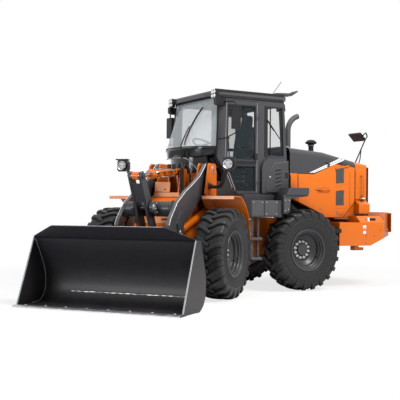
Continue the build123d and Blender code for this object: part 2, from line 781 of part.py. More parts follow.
def hood_form(inset, drop, reach_front):
    """The hood's form, its walls drawn in by inset, its low edge dropped and its front moved."""
    with BuildPart() as form:
        with BuildSketch(side(rear)) as outline:
            Polygon(
                (hood_front + reach_front, 1450 - drop), (-1850, 1190 - drop),
                (-1900, hood_low - drop), (hood_back + 8, hood_low - drop), (hood_back, 1990),
                (-2850, 2040), (-2590, 2078), (-1900, 2215), (hood_front + reach_front, 2265),
                align=None,
            )
            if inset:
                offset(amount=-inset, kind=Kind.INTERSECTION)
        extrude(amount=hood_half - inset, both=True)
        roof = form.faces().filter_by(lambda f: f.normal_at().Z > 0.5)
        rims = roof.edges().filter_by(lambda e: abs((e % 0.5).dot(rear.y_dir)) < 0.2)
        long_edges = rims.filter_by(lambda e: abs(e.center().Y - pivot_y) > hood_half - inset - 1)
        fillet(long_edges, hood_round - inset)
        # bevelled rear corners
        run = inset * 0.7
        for hand in (1, -1):
            with BuildSketch(level(rear, hood_low - drop - 1)):
                Polygon(
                    (corner[0] + run, hand * (hood_half - run)),
                    (corner[0] + run + 20, hand * (hood_half + 20 - run)),
                    (hood_back - 200, hand * (hood_half + 20 - run)),
                    (hood_back - 200, hand * (corner[1] - 200 - 2 * run)),
                    (hood_back + run, hand * (corner[1] - run)), align=None,
                )
            extrude(amount=1200, mode=Mode.SUBTRACT)
    return form.part


with BuildPart() as hood_shell:
    add(hood_form(0, 0, 0))
    add(hood_form(hood_skin, 60, 60), mode=Mode.SUBTRACT)
whole_hood = hood_shell.part
with BuildPart() as hood_cowl:
    add(whole_hood)
    with BuildSketch(side(rear)):
        Polygon(*cowl_outline, align=None)
    extrude(amount=hood_half + 50, both=True, mode=Mode.INTERSECT)
    with BuildSketch(level(rear, 2100)):
        with Locations((stack_x, 0)):
            Circle(stack_radius + 5)
        with Locations((intake_x, 0)):
            Circle(intake_radius + 5)
    extrude(amount=300, mode=Mode.SUBTRACT)
    # fixed knuckles of the side doors' hinges
    for hand in (1, -1):
        for x in hood_hinge_x:
            with BuildSketch(across(rear, x)):
                with Locations((hand * hood_hinge[0], hood_hinge[1])):
                    Circle(knuckle_radius)
                Polygon(
                    (hand * (hood_half - 4), hood_hinge[1] + 8),
                    (hand * hood_hinge[0], hood_hinge[1] + 8),
                    (hand * hood_hinge[0], hood_hinge[1]), (hand * (hood_half - 4), hood_hinge[1]),
                    align=None,
                )
            extrude(amount=knuckle)
save(hood_cowl.part, "hood_cowl")

grille_half = 470
grille_low = 1260
grille_high = 1940
grille_hinge = (hood_back - 10, grille_half + 6)
grille_hinge_z = (1380, 1780)
with BuildPart() as hood_tail:
    add(whole_hood)
    with BuildSketch(side(rear)):
        Polygon(*tail_outline, align=None)
    extrude(amount=hood_half + 50, both=True, mode=Mode.INTERSECT)
    with BuildSketch(across(rear, hood_back - 20)):
        with Locations((0, (grille_low + grille_high) / 2)):
            Rectangle(2 * grille_half, grille_high - grille_low)
    extrude(amount=60, mode=Mode.SUBTRACT)
    for hand in (1, -1):
        with BuildSketch(level(rear, weight_top + seat_gap)):
            with Locations((-2680, hand * (hood_half - hood_skin - 20))):
                Rectangle(220, 44)
        extrude(amount=hood_low + 20 - weight_top)
    for z in grille_hinge_z:
        with BuildSketch(level(rear, z)):
            with Locations((grille_hinge[0], grille_hinge[1])):
                Circle(knuckle_radius)
            Polygon(
                (grille_hinge[0], grille_hinge[1] + 7), (grille_hinge[0] - 6, grille_hinge[1]),
                (grille_hinge[0] - 6, grille_hinge[1] + 45), (hood_back + 9, grille_hinge[1] + 45),
                (hood_back + 9, grille_hinge[1] + 7), align=None,
            )
        extrude(amount=knuckle)
save(hood_tail.part, "hood_tail")

with BuildPart() as hood_sides:
    add(whole_hood)
    with BuildSketch(side(rear)):
        Polygon(*fixed_outline, align=None)
    extrude(amount=hood_half + 50, both=True, mode=Mode.INTERSECT)
save(hood_sides.part, "hood_sides")

for door_name, hand in (("left", 1), ("right", -1)):
    with BuildPart() as hood_door:
        add(whole_hood)
        with BuildSketch(side(rear, hand * (hood_half - hood_skin))):
            Polygon(*side_outline, align=None)
        extrude(amount=-hand * 120, mode=Mode.INTERSECT)
        with BuildSketch(side(rear, hand * hood_half)):
            with Locations((-1780, 1600)):
                Rectangle(150, 18)
        extrude(amount=-hand * 30)
        for x in hood_hinge_x:
            with BuildSketch(across(rear, x - seat_gap)):
                with Locations((hand * hood_hinge[0], hood_hinge[1])):
                    Circle(knuckle_radius - 1)
                Polygon(
                    (hand * (hood_hinge[0] - 3), hood_hinge[1]),
                    (hand * (hood_hinge[0] + 5), hood_hinge[1]),
                    (hand * (hood_half + 7), 1945), (hand * (hood_half - 1), 1945),
                    (hand * (hood_half - 1), 1955 if x > -2100 else 2000),
                    (hand * (hood_hinge[0] - 6), 1965 if x > -2100 else 2010),
                    align=None,
                )
            extrude(amount=-knuckle)
    save(hood_door.part, "hood_door_" + door_name)

with BuildPart() as grille:
    with BuildSketch(across(rear, hood_back)):
        with Locations((0, (grille_low + grille_high) / 2)):
            Rectangle(2 * (grille_half - swing_gap), grille_high - grille_low - 2 * swing_gap)
            Rectangle(2 * (grille_half - 50), grille_high - grille_low - 100, mode=Mode.SUBTRACT)
            with GridLocations(1, 70, 1, 8):
                Rectangle(2 * (grille_half - 45), 30)
    extrude(amount=20)
    for z in grille_hinge_z:
        with BuildSketch(level(rear, z - seat_gap)):
            with Locations((grille_hinge[0], grille_hinge[1])):
                Circle(knuckle_radius)
            Polygon(
                (grille_hinge[0] - 6, grille_hinge[1]), (grille_hinge[0], grille_hinge[1] - 7),
                (hood_back + 2, grille_half - swing_gap - 1), (hood_back + 2, grille_half - 50),
                (grille_hinge[0] - 6, grille_half - 50), align=None,
            )
        extrude(amount=-knuckle)
save(grille.part, "grille_door")

# ---- cab ------------------------------------------------------------------------------------------
cab_half = 703
cab_wall = 40
cab_floor = 1500
cab_roof_low = 2985
roof_thick = 105
visor_thick = 55
cab_outline = (
    (-190, cab_floor), (170, 2050), (130, cab_roof_low), (-1060, cab_roof_low),
    (-1120, 2070), (-1090, cab_floor),
)
door_outline = (
    (-185, 1508), (8, 1810), (40, 2050), (20, 2940), (-560, 2940), (-560, 1508),
)
door_window_high = ((-10, 2050), (-28, 2860), (-515, 2860), (-515, 2050))
door_window_low = ((-175, 1560), (-20, 1810), (-5, 1930), (-515, 1930), (-515, 1560))
rear_window = ((-690, 2110), (-690, 2860), (-1030, 2860), (-1060, 2110))
glass_thick = 6
door_hinge = (-563, cab_half + 10)
door_hinge_z = (1700, 2700)

with BuildPart() as cab_frame:
    with BuildSketch(side(rear)):
        Polygon(*cab_outline, align=None)
    extrude(amount=cab_half, both=True)
    with BuildSketch(side(rear)):
        Polygon(*cab_outline, align=None)
        offset(amount=-cab_wall, kind=Kind.INTERSECTION)
    extrude(amount=cab_half - cab_wall, both=True, mode=Mode.SUBTRACT)
    # roof opening, closed by the roof piece
    with BuildSketch(level(rear, cab_roof_low + 1)):
        with Locations((-460, 0)):
            Rectangle(1000, 2 * (cab_half - 80))
    extrude(amount=-cab_wall - 10, mode=Mode.SUBTRACT)
    for hand in (1, -1):
        with BuildSketch(side(rear, hand * (cab_half + 5))):
            Polygon(*door_outline, align=None)
            Polygon(*rear_window, align=None)
        extrude(amount=hand * (cab_wall + 10), mode=Mode.SUBTRACT)
    # windscreen, its lower corners cut down beside the middle panel, and the rear window
    with BuildSketch(across(rear, 300)):
        Polygon((-640, 2150), (-640, 2930), (640, 2930), (640, 2150), align=None)
        for hand in (1, -1):
            Polygon((hand * 640, 2090), (hand * 200, 2090), (hand * 330, 1700), (hand * 520, 1700),
                    align=None)
    extrude(amount=-600, mode=Mode.SUBTRACT)
    with BuildSketch(across(rear, -1200)):
        Polygon((-600, 2110), (-600, 2900), (600, 2900), (600, 2110), align=None)
    extrude(amount=300, mode=Mode.SUBTRACT)
    for z in door_hinge_z:
        with BuildSketch(level(rear, z)):
            with Locations(door_hinge):
                Circle(knuckle_radius)
            Polygon(
                (door_hinge[0] - 45, cab_half - 2), (door_hinge[0] - 45, cab_half + 12),
                (door_hinge[0], cab_half + 18), (door_hinge[0], cab_half + 3),
                (door_hinge[0] - 8, cab_half - 2), align=None,
            )
        extrude(amount=knuckle)
save(cab_frame.part, "cab_frame")

with BuildPart() as cab_roof:
    with BuildSketch(level(rear, cab_roof_low + seat_gap)):
        with Locations((-460, 0)):
            Rectangle(1260, 2 * cab_half)
    extrude(amount=roof_thick)
    fillet(cab_roof.edges().group_by(Axis.Z)[-1], 45)
    # visor over the windscreen
    with BuildSketch(level(rear, cab_roof_low + seat_gap)):
        Polygon((150, 600), (195, 600), (232, 400), (232, -400), (195, -600), (150, -600),
                align=None)
    extrude(amount=visor_thick)
save(cab_roof.part, "cab_roof")

with BuildPart() as cab_door:
    with BuildSketch(side(rear, cab_half)):
        Polygon(*door_outline, align=None)
        offset(amount=-swing_gap, kind=Kind.INTERSECTION)
        Polygon(*door_window_high, align=None, mode=Mode.SUBTRACT)
        Polygon(*door_window_low, align=None, mode=Mode.SUBTRACT)
    extrude(amount=cab_wall)
    for z in door_hinge_z:
        with BuildSketch(level(rear, z - seat_gap)):
            with Locations(door_hinge):
                Circle(knuckle_radius)
            Polygon(
                (door_hinge[0], cab_half + 18), (door_hinge[0] + 45, cab_half + 12),
                (door_hinge[0] + 45, cab_half - 2), (door_hinge[0] + 9, cab_half - 2),
                (door_hinge[0], cab_half + 3), align=None,
            )
        extrude(amount=-knuckle)
save(cab_door.part, "cab_door")

with BuildPart() as door_glass:
    with BuildSketch(side(rear, cab_half - 15)):
        Polygon(*door_window_high, align=None)
        offset(amount=-seat_gap, kind=Kind.INTERSECTION)
    extrude(amount=glass_thick)
    with BuildSketch(side(rear, cab_half - 15)):
        Polygon(*door_window_low, align=None)
        offset(amount=-seat_gap, kind=Kind.INTERSECTION)
    extrude(amount=glass_thick)
save(door_glass.part, "door_glass")

with BuildPart() as cab_glass:
    for hand in (1, -1):
        with BuildSketch(side(rear, hand * (cab_half - 15))):
            Polygon(*rear_window, align=None)
            offset(amount=-seat_gap, kind=Kind.INTERSECTION)
        extrude(amount=hand * glass_thick)
    with BuildSketch(side(rear, -cab_half + 15)):
        Polygon(*door_outline, align=None)
        offset(amount=-seat_gap, kind=Kind.INTERSECTION)
    extrude(amount=-glass_thick)
save(cab_glass.part, "cab_glass")

# Windscreen: one bent pane that stands furthest out at its foot, on a cowl that follows it.
screen_half = 690
screen_low = 2205
screen_high = 2980
screen_bulge = (350, 45)    # how far the pane stands out at its foot and at its top
cowl_half = 460
cowl_foot = 1700
shelf_thick = 22


def wall_x(z):
    """Outer face of the cab's front wall at height z, above its waist at 2050."""
    return 170 - 40 * (z - 2050) / (cab_roof_low - 2050)


def bent_front(x, half_width, bulge):
    """Corners of a front that bulges from x: left end, left bend, middle, and their mirrors."""
    return [(x + share * bulge, y * half_width) for share, y in (
        (0, 1), (0.45, 0.9), (0.8, 0.66), (1, 0), (0.8, -0.66), (0.45, -0.9), (0, -1))]


def bent_arcs(ends):
    """Three arcs through the corners of a bent front."""
    for first in (0, 2, 4):
        ThreePointArc(ends[first], ends[first + 1], ends[first + 2])


with BuildPart() as windscreen:
    for z, bulge in zip((screen_low, screen_high), screen_bulge):
        foot = wall_x(z) + seat_gap
        outer = bent_front(foot, screen_half, bulge)
        inner = bent_front(foot, screen_half - glass_thick, bulge - glass_thick)
        with BuildSketch(level(rear, z)):
            with BuildLine():
                bent_arcs(outer)
                Line(outer[-1], inner[-1])
                bent_arcs(inner)
                Line(inner[0], outer[0])
            make_face()
    loft(ruled=True)
save(windscreen.part, "windscreen")

with BuildPart() as front_cowl:
    for low, high, half_width, bulge in (
        (screen_low - seat_gap - shelf_thick, screen_low - seat_gap, screen_half, 352),
        (cowl_foot, screen_low - seat_gap - shelf_thick, cowl_half, 340),
    ):
        front_line = bent_front(wall_x(screen_low) - 5, half_width, bulge)
        with BuildSketch(level(rear, low)):
            with BuildLine():
                bent_arcs(front_line)
                Polyline(front_line[-1], (-400, -half_width), (-400, half_width), front_line[0])
            make_face()
        extrude(amount=high - low)
    with BuildSketch(side(rear)):
        Polygon(*cab_outline, align=None)
        offset(amount=seat_gap, kind=Kind.INTERSECTION)
    extrude(amount=cab_half + 10, both=True, mode=Mode.SUBTRACT)
save(front_cowl.part, "front_cowl")

with BuildPart() as seat:
    with BuildSketch(level(rear, cab_floor + cab_wall + seat_gap)):
        with Locations((-650, 0)):
            Rectangle(380, 360)
    extrude(amount=420)
    with BuildSketch(level(rear, 1960)):
        with Locations((-620, 0)):
            RectangleRounded(500, 500, 60)
    extrude(amount=150)
    with BuildSketch(side(rear)):
        Polygon((-780, 2080), (-860, 2600), (-960, 2600), (-890, 2000), align=None)
    extrude(amount=230, both=True)
    with BuildSketch(side(rear)):
        Polygon((-870, 2560), (-880, 2800), (-970, 2800), (-960, 2560), align=None)
    extrude(amount=130, both=True)
save(seat.part, "seat")

with BuildPart() as steering_console:
    with BuildSketch(side(rear)):
        Polygon((-65, 1790), (30, 2010), (-30, 2200), (-110, 2200), (-200, 1700), (-300, 1540.3),
                (-229, 1540.3), align=None)
    extrude(amount=110, both=True)
    wheel_plane = Plane(rear.from_local_coords((-130, 0, 2290)), x_dir=(0, 1, 0), z_dir=(-0.45, 0, 0.9))
    with BuildSketch(wheel_plane):
        Circle(200)
        Circle(175, mode=Mode.SUBTRACT)
        Rectangle(380, 30)
        Circle(45)
    extrude(amount=22)
    with BuildSketch(wheel_plane):
        Circle(22)
    extrude(amount=-130)
save(steering_console.part, "steering_console")

# ---- covers, steps, fenders and fittings --------------------------------------------------------------
cover_low = 1520
with BuildPart() as side_covers:
    for hand in (1, -1):
        with BuildSketch(side(rear, hand * (cab_half + seat_gap))):
            with BuildLine():
                Polyline((-760, 2070), (-1080, 2070), (-1090, cover_low), (-620, cover_low),
                         (-620, 1850))
                ThreePointArc((-620, 1850), (-655, 2000), (-760, 2070))
            make_face()
        extrude(amount=-hand * 50)
save(side_covers.part, "side_covers")

with BuildPart() as step_boxes:
    for hand in (1, -1):
        with BuildSketch(level(rear, 1150)):
            Polygon(
                (-280, hand * 720), (-280, hand * 950), (-860, hand * 950),
                (-860, hand * (rail_y + seat_gap)), (-600, hand * (rail_y + seat_gap)), align=None,
            )
        extrude(amount=260)
        # ladder: two steps between a stringer and a bent rail
        with BuildSketch(level(rear, 520)):
            with Locations((-340, hand * 880)):
                Rectangle(60, 30)
        extrude(amount=640)
        for z in (500, 800):
            with BuildSketch(level(rear, z)):
                with Locations((-400, hand * 830)):
                    Rectangle(200, 240)
            extrude(amount=30)
        with BuildSketch(level(rear, 520)):
            with Locations((-460, hand * 880)):
                Rectangle(30, 30)
        extrude(amount=640)
    with BuildSketch(level(rear, 1410)):
        with Locations((-570, 0)):
            Rectangle(560, 1500)
    extrude(amount=cab_floor - seat_gap - 1410)
    # cab mounts on the frame
    with BuildSketch(level(rear, rail_top + seat_gap)):
        with Locations((-420, neck_y - 12), (-420, 12 - neck_y), (-800, 290), (-800, -290)):
            Rectangle(80, 24)
    extrude(amount=1410 - rail_top)
save(step_boxes.part, "steps_and_deck")

with BuildPart() as rear_fenders:
    for hand in (1, -1):
        with BuildSketch(side(rear, hand * 700)):
            Polygon(
                (-860 - seat_gap, 1200), (-860 - seat_gap, cab_floor - seat_gap),
                (-1325, cab_floor - seat_gap), (-1325, 1480), (-995, 1440), (-995, 1400),
                (-980, 1222), align=None,
            )
        extrude(amount=-hand * 290)
        with BuildSketch(side(rear, hand * 760)):
            Polygon(
                (-900, cab_floor - 5), (-950, 1605), (-1335, 1612), (-1335, 1540),
                (-1325, cab_floor - 5), align=None,
            )
        extrude(amount=-hand * 250)
save(rear_fenders.part, "rear_fenders")

with BuildPart() as front_fenders:
    for hand in (1, -1):
        with BuildSketch(side(front, hand * (outer_lug_y + 20))):
            with BuildLine():
                Polyline((1240, 1425), (1240, 1450), (960, 1450))
                ThreePointArc((960, 1450), (720, 1290), (570, 1010))
                Polyline((570, 1010), (520, 820), (532, 816), (582, 1006))
                ThreePointArc((582, 1006), (730, 1279), (964, 1438))
                Polyline((964, 1438), (1228, 1438), (1228, 1425), (1240, 1425))
            make_face()
        extrude(amount=-hand * 490)
        with BuildSketch(side(front, hand * (outer_lug_y + seat_gap))):
            Polygon((1240, 1450), (960, 1450), (720, 1290), (750, 1200), (1100, 1300), align=None)
            with Locations(lift_base):
                Circle(lift_pin + 20, mode=Mode.SUBTRACT)
        extrude(amount=-hand * 20)
save(front_fenders.part, "front_fenders")

with BuildPart() as headlamps:
    for hand in (1, -1):
        with BuildSketch(across(front, 1010)):
            with Locations((hand * 860, 1910)):
                RectangleRounded(190, 190, 30)
        extrude(amount=130)
        with BuildSketch(level(front, 1560)):
            with Locations((990, hand * 700)):
                Rectangle(40, 40)
        extrude(amount=260)
        with BuildSketch(side(front, hand * (outer_lug_y + seat_gap))):
            with Locations((990, 1560)):
                Rectangle(60, 60)
        extrude(amount=-hand * 230)
        with BuildSketch(side(front, hand * 680)):
            with Locations((990, 1840)):
                Rectangle(40, 40)
        extrude(amount=-hand * 180)
save(headlamps.part, "headlamps")

with BuildPart() as exhaust:
    with BuildLine() as pipe_path:
        l1 = Line(
            rear.from_local_coords((stack_x, 0, engine_top + seat_gap)),
            rear.from_local_coords((stack_x, 0, 2600)),
        )
        l2 = TangentArc(
            [l1 @ 1, rear.from_local_coords((stack_x - 200, 0, 2860))], tangent=l1 % 1
        )
    with BuildSketch(Plane(l1 @ 0, z_dir=(0, 0, 1))):
        Circle(stack_radius)
        Circle(stack_radius - 4, mode=Mode.SUBTRACT)
    sweep(path=pipe_path.wires()[0])
save(exhaust.part, "exhaust_pipe")

with BuildPart() as precleaner:
    with BuildSketch(side(rear)):
        with Locations((intake_x, 0)):
            Polygon(
                (0, engine_top + seat_gap), (intake_radius, engine_top + seat_gap),
                (intake_radius, 2385), (58, 2395), (98, 2412), (100, 2430), (62, 2466),
                (20, 2476), (0, 2476), align=None,
            )
    revolve(axis=Axis(rear.from_local_coords((intake_x, 0, 0)), (0, 0, 1)))
save(precleaner.part, "precleaner")

# Mirrors: a bracket at each roof corner, a bent arm above and below the head.
mirror_x = 25               # rear face of a mirror head
mirror_y = 945              # its inner edge
mirror_size = (60, 190, 340)
mirror_low = 2465
arm_radius = 11
corner_top = 2940           # top of the corner brackets


def bent_bar(points, radius, bend):
    """A round bar that follows points of the rear frame, with its corners rounded."""
    with BuildPart() as bar:
        with BuildLine() as path:
            FilletPolyline(*[rear.from_local_coords(point) for point in points], radius=bend)
        with BuildSketch(Plane(path.line @ 0, z_dir=path.line % 0)):
            Circle(radius)
        sweep(path=path.line)
    return bar.part


with BuildPart() as mirrors:
    for hand in (1, -1):
        with BuildSketch(side(rear, hand * (cab_half + seat_gap))):
            Polygon((60, 2830), (60, corner_top), (240, corner_top), (240, 2850), (200, 2830),
                    align=None)
        extrude(amount=-hand * 75)
        middle_y = hand * (mirror_y + mirror_size[1] / 2)
        add(bent_bar((
            (90, hand * 740, 2885), (90, hand * 860, 2885), (mirror_x + 30, middle_y, 2860),
            (mirror_x + 30, middle_y, mirror_low + mirror_size[2] - 20),
        ), arm_radius, 30))
        add(bent_bar((
            (140, hand * (cab_half + seat_gap), 2326), (140, hand * 880, 2326),
            (mirror_x + 30, middle_y, 2400), (mirror_x + 30, middle_y, mirror_low + 20),
        ), arm_radius - 2, 25))
        with BuildSketch(level(rear, mirror_low)):
            with Locations((mirror_x + mirror_size[0] / 2, middle_y)):
                RectangleRounded(mirror_size[0], mirror_size[1], 25)
        extrude(amount=mirror_size[2])
save(mirrors.part, "mirrors")

# Work lamps: one on each front corner bracket, one on each side of the cab's rear wall.
lamp_wide = 140
lamp_high = 130
wall_lean = 60 / 915        # how far the rear wall comes forward for each unit of height
with BuildPart() as work_lamps:
    for hand in (1, -1):
        with BuildSketch(level(rear, corner_top + seat_gap)):
            with Locations((208, hand * (cab_half - 10))):
                RectangleRounded(66, lamp_wide, 15)
        extrude(amount=lamp_high)
        with BuildSketch(side(rear, hand * 480)):
            Polygon(
                (-1060 - 35 * wall_lean - seat_gap, cab_roof_low - 35), (-1135, 2950),
                (-1150, 2840), (-1060 - 145 * wall_lean - seat_gap, cab_roof_low - 145),
                align=None,
            )
        extrude(amount=-hand * lamp_wide)
save(work_lamps.part, "work_lamps")

# On the roof: a folding bracket for a warning light, and the radio's whip.
roof_top = cab_roof_low + seat_gap + roof_thick
with BuildPart() as roof_fittings:
    with BuildSketch(side(rear, 655)):
        Polygon(
            (-950, roof_top + seat_gap), (-1040, roof_top + seat_gap), (-1240, 3085),
            (-1362, 3160), (-1362, 3186), (-1230, 3130), (-950, 3115), align=None,
        )
    extrude(amount=110)
    with BuildSketch(level(rear, 3000)):
        with Locations((-1110, 600), (-1260, 600)):
            Rectangle(110, 70)
    extrude(amount=300, mode=Mode.SUBTRACT)
    with BuildSketch(level(rear, roof_top + seat_gap)):
        with Locations((-1004, 440)):
            Circle(18)
    extrude(amount=22)
    whip_foot = rear.from_local_coords((-1004, 440, roof_top + 15))
    whip_tip = rear.from_local_coords((-1195, 440, 3342))
    with BuildSketch(Plane(whip_foot, z_dir=whip_tip - whip_foot)):
        Circle(5)
    extrude(amount=(whip_tip - whip_foot).length)
save(roof_fittings.part, "roof_fittings")

with BuildPart() as tail_lamps:
    for hand in (1, -1):
        with BuildSketch(across(rear, -2765)):
            Polygon(
                (hand * (hood_half + seat_gap), 1210), (hand * 800, 1210), (hand * 800, 1370),
                (hand * (hood_half + seat_gap), 1440), align=None,
            )
        extrude(amount=230)
    fillet(tail_lamps.edges().filter_by(Axis.X).filter_by(
        lambda e: abs(e.center().Y - pivot_y) > 790), 8)
save(tail_lamps.part, "tail_lamps")

# Grab handles beside the ladders.
with BuildPart() as grab_handles:
    for hand in (1, -1):
        add(bent_bar((
            (-310 + seat_gap, hand * 905, 1120), (-250, hand * 905, 1120),
            (-250, hand * 905, 890), (-310 + seat_gap, hand * 905, 890),
        ), 11, 30))
save(grab_handles.part, "grab_handles")

# Rear mirror: a leaning pane beside a bent arm that stands on the hood's tail.
mirror_post = 450           # y of the arm
pane_ends = (425, 125)      # y of the pane's two ends


def tail_top(x):
    """Height of the hood's top between its bend at -2590 and its rear corner at -2850."""
    return 2078 + (x + 2590) * 38 / 260


with BuildPart() as rear_mirror:
    with BuildSketch(side(rear, mirror_post + 32)):
        Polygon(
            (-2700, tail_top(-2700) + seat_gap), (-2835, tail_top(-2835) + seat_gap),
            (-2835, tail_top(-2835) + 9), (-2700, tail_top(-2700) + 9), align=None,
        )
    extrude(amount=64)
    add(bent_bar((
        (-2735, mirror_post, 2064), (-2965, mirror_post, 2490), (-3008, mirror_post, 2545),
        (-2980, mirror_post, 2612), (-2925, mirror_post, 2570), (-2930, pane_ends[0] - 15, 2545),
    ), 11, 16))
    add(bent_bar((
        (-2815, mirror_post, 2051), (-2850, mirror_post, 2150), (-2875, mirror_post, 2330),
    ), 9, 15))
    with BuildSketch(side(rear, pane_ends[0])):
        Polygon((-2880, 2612), (-3008, 2494), (-2986, 2472), (-2856, 2592), align=None)
    extrude(amount=pane_ends[0] - pane_ends[1])
save(rear_mirror.part, "rear_mirror")
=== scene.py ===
# An articulated wheel loader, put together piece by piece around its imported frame. Metres, Z up,
# the ground at Z = 0. Sizes are given from the articulation pivot, x forward and y to the left,
# along the rear frame, or along the front frame for what rides on it.
import math

import bpy
import numpy as np
from mathutils import Matrix, Vector


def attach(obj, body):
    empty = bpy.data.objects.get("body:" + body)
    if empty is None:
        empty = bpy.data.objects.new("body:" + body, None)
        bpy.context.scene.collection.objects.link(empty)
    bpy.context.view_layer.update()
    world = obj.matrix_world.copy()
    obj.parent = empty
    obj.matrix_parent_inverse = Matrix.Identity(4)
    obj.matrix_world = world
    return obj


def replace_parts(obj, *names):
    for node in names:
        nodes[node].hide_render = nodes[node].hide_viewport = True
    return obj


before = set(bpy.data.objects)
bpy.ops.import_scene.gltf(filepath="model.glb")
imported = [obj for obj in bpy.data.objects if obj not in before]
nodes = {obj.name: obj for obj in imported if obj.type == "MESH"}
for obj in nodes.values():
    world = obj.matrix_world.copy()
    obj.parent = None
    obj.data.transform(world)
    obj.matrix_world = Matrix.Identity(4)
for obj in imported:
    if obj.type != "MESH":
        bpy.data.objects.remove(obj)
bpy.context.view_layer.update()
scene = bpy.context.scene

# ---- camera, floor and light ---------------------------------------------------------------------
# A long lens at chest height, ahead of the machine and to its left. The floor is a plain pale
# sheet that keeps the shadow, under three large soft lamps and a white sky.
pivot = np.array([-0.033090, -0.953820, 0.0])
camera_place = pivot + np.array([6.61477, 11.38048, 1.25550])
yaw, pitch, roll = math.radians(240.046), math.radians(0.668), math.radians(0.516)
ahead = np.array([math.cos(pitch) * math.cos(yaw), math.cos(pitch) * math.sin(yaw), math.sin(pitch)])
level_right = np.cross(ahead, (0.0, 0.0, 1.0))
level_right /= np.linalg.norm(level_right)
level_up = np.cross(level_right, ahead)
right = level_right * math.cos(roll) + level_up * math.sin(roll)
up = -level_right * math.sin(roll) + level_up * math.cos(roll)
camera_data = bpy.data.cameras.new("camera")
camera_data.sensor_width = 36.0
camera_data.lens = 74.40
camera_data.clip_end = 200.0
camera = bpy.data.objects.new("camera", camera_data)
camera.matrix_world = Matrix((
    (right[0], up[0], -ahead[0], camera_place[0]),
    (right[1], up[1], -ahead[1], camera_place[1]),
    (right[2], up[2], -ahead[2], camera_place[2]),
    (0.0, 0.0, 0.0, 1.0),
))
scene.collection.objects.link(camera)
scene.camera = camera
scene.view_settings.view_transform = "Standard"


def wire(tree, pairs):
    """Joins sockets of a node tree, given as (from, to) pairs."""
    for start, end in pairs:
        tree.links.new(start, end)


def set_to(shader, **values):
    """Sets the inputs of a shader node, named with _ for each space."""
    for socket, value in values.items():
        shader.inputs[socket.replace("_", " ")].default_value = value


def node(tree, kind, operation=None, **values):
    """Adds a shader node, with its operation and what its inputs are set to."""
    made = tree.nodes.new("ShaderNode" + kind)
    if operation:
        made.operation = operation
    set_to(made, **values)
    return made


sky = bpy.data.worlds.new("sky")
sky.use_nodes = True
scene.world = sky
sky_tree = sky.node_tree
sky_light = sky_tree.nodes["Background"]
set_to(sky_light, Color=(0.90, 0.95, 1.0, 1.0), Strength=0.25)
sky_seen = node(sky_tree, "Background", Color=(1.0, 1.0, 1.0, 1.0))
sky_path = node(sky_tree, "LightPath")
sky_any = node(sky_tree, "Math", "MAXIMUM")
sky_clear = node(sky_tree, "Math", "MAXIMUM")
sky_mix = node(sky_tree, "MixShader")
wire(sky_tree, (
    (sky_path.outputs["Is Camera Ray"], sky_any.inputs[0]),
    (sky_path.outputs["Is Glossy Ray"], sky_any.inputs[1]),
    (sky_any.outputs[0], sky_clear.inputs[0]),
    (sky_path.outputs["Is Transmission Ray"], sky_clear.inputs[1]),
    (sky_clear.outputs[0], sky_mix.inputs[0]),
    (sky_light.outputs[0], sky_mix.inputs[1]),
    (sky_seen.outputs[0], sky_mix.inputs[2]),
    (sky_mix.outputs[0], sky_tree.nodes["World Output"].inputs["Surface"]),
))


def new_finish(name):
    """A material, with its node tree and its main shader."""
    made = bpy.data.materials.new(name)
    made.use_nodes = True
    return made, made.node_tree, made.node_tree.nodes["Principled BSDF"]


floor_mesh = bpy.data.meshes.new("floor")
floor_half = 60.0
floor_mesh.from_pydata([(-floor_half, -floor_half, 0), (floor_half, -floor_half, 0),
                        (floor_half, floor_half, 0), (-floor_half, floor_half, 0)],
                       [], [(0, 1, 2, 3)])
floor = bpy.data.objects.new("floor", floor_mesh)
scene.collection.objects.link(floor)
# close to the machine the camera sees the floor's own shade, further out more and more white
floor_paint, floor_tree, floor_skin = new_finish("pale_floor")
set_to(floor_skin, Base_Color=(0.86, 0.86, 0.86, 1.0), Roughness=0.9, Specular_IOR_Level=0.0)
floor_glow = node(floor_tree, "Emission", Strength=1.0)
floor_path = node(floor_tree, "LightPath")
floor_share = node(floor_tree, "Math", "MULTIPLY")
floor_place = node(floor_tree, "TexCoord")
floor_reach = node(floor_tree, "VectorMath", "LENGTH")
floor_fade = node(floor_tree, "MapRange", From_Min=3.0, From_Max=8.0, To_Min=0.75, To_Max=1.0)
floor_mix = node(floor_tree, "MixShader")
wire(floor_tree, (
    (floor_place.outputs["Object"], floor_reach.inputs[0]),
    (floor_reach.outputs["Value"], floor_fade.inputs["Value"]),
    (floor_fade.outputs[0], floor_share.inputs[1]),
    (floor_path.outputs["Is Camera Ray"], floor_share.inputs[0]),
    (floor_share.outputs[0], floor_mix.inputs[0]),
    (floor_skin.outputs[0], floor_mix.inputs[1]),
    (floor_glow.outputs[0], floor_mix.inputs[2]),
    (floor_mix.outputs[0], floor_tree.nodes["Material Output"].inputs["Surface"]),
))
floor_mesh.materials.append(floor_paint)


def lamp(name, towards, distance, size, power, tint):
    """A square soft lamp that looks at the middle of the machine from a direction."""
    data = bpy.data.lights.new(name, "AREA")
    data.size = size
    data.energy = power
    data.color = tint
    made = bpy.data.objects.new(name, data)
    way = Vector(towards).normalized()
    middle_of_machine = Vector((0.0, 0.0, 1.2))
    made.location = way * distance + middle_of_machine
    made.rotation_euler = (-way).to_track_quat("-Z", "Y").to_euler()
    scene.collection.objects.link(made)


lamp("key", (-0.35, 1.0, 1.25), 14.0, 5.0, 2150.0, (1.0, 0.985, 0.96))
lamp("front", (0.972, 0.235, 0.10), 15.0, 4.5, 700.0, (0.96, 0.98, 1.0))
lamp("top", (0.15, 0.10, 1.0), 12.0, 7.0, 550.0, (1.0, 1.0, 1.0))
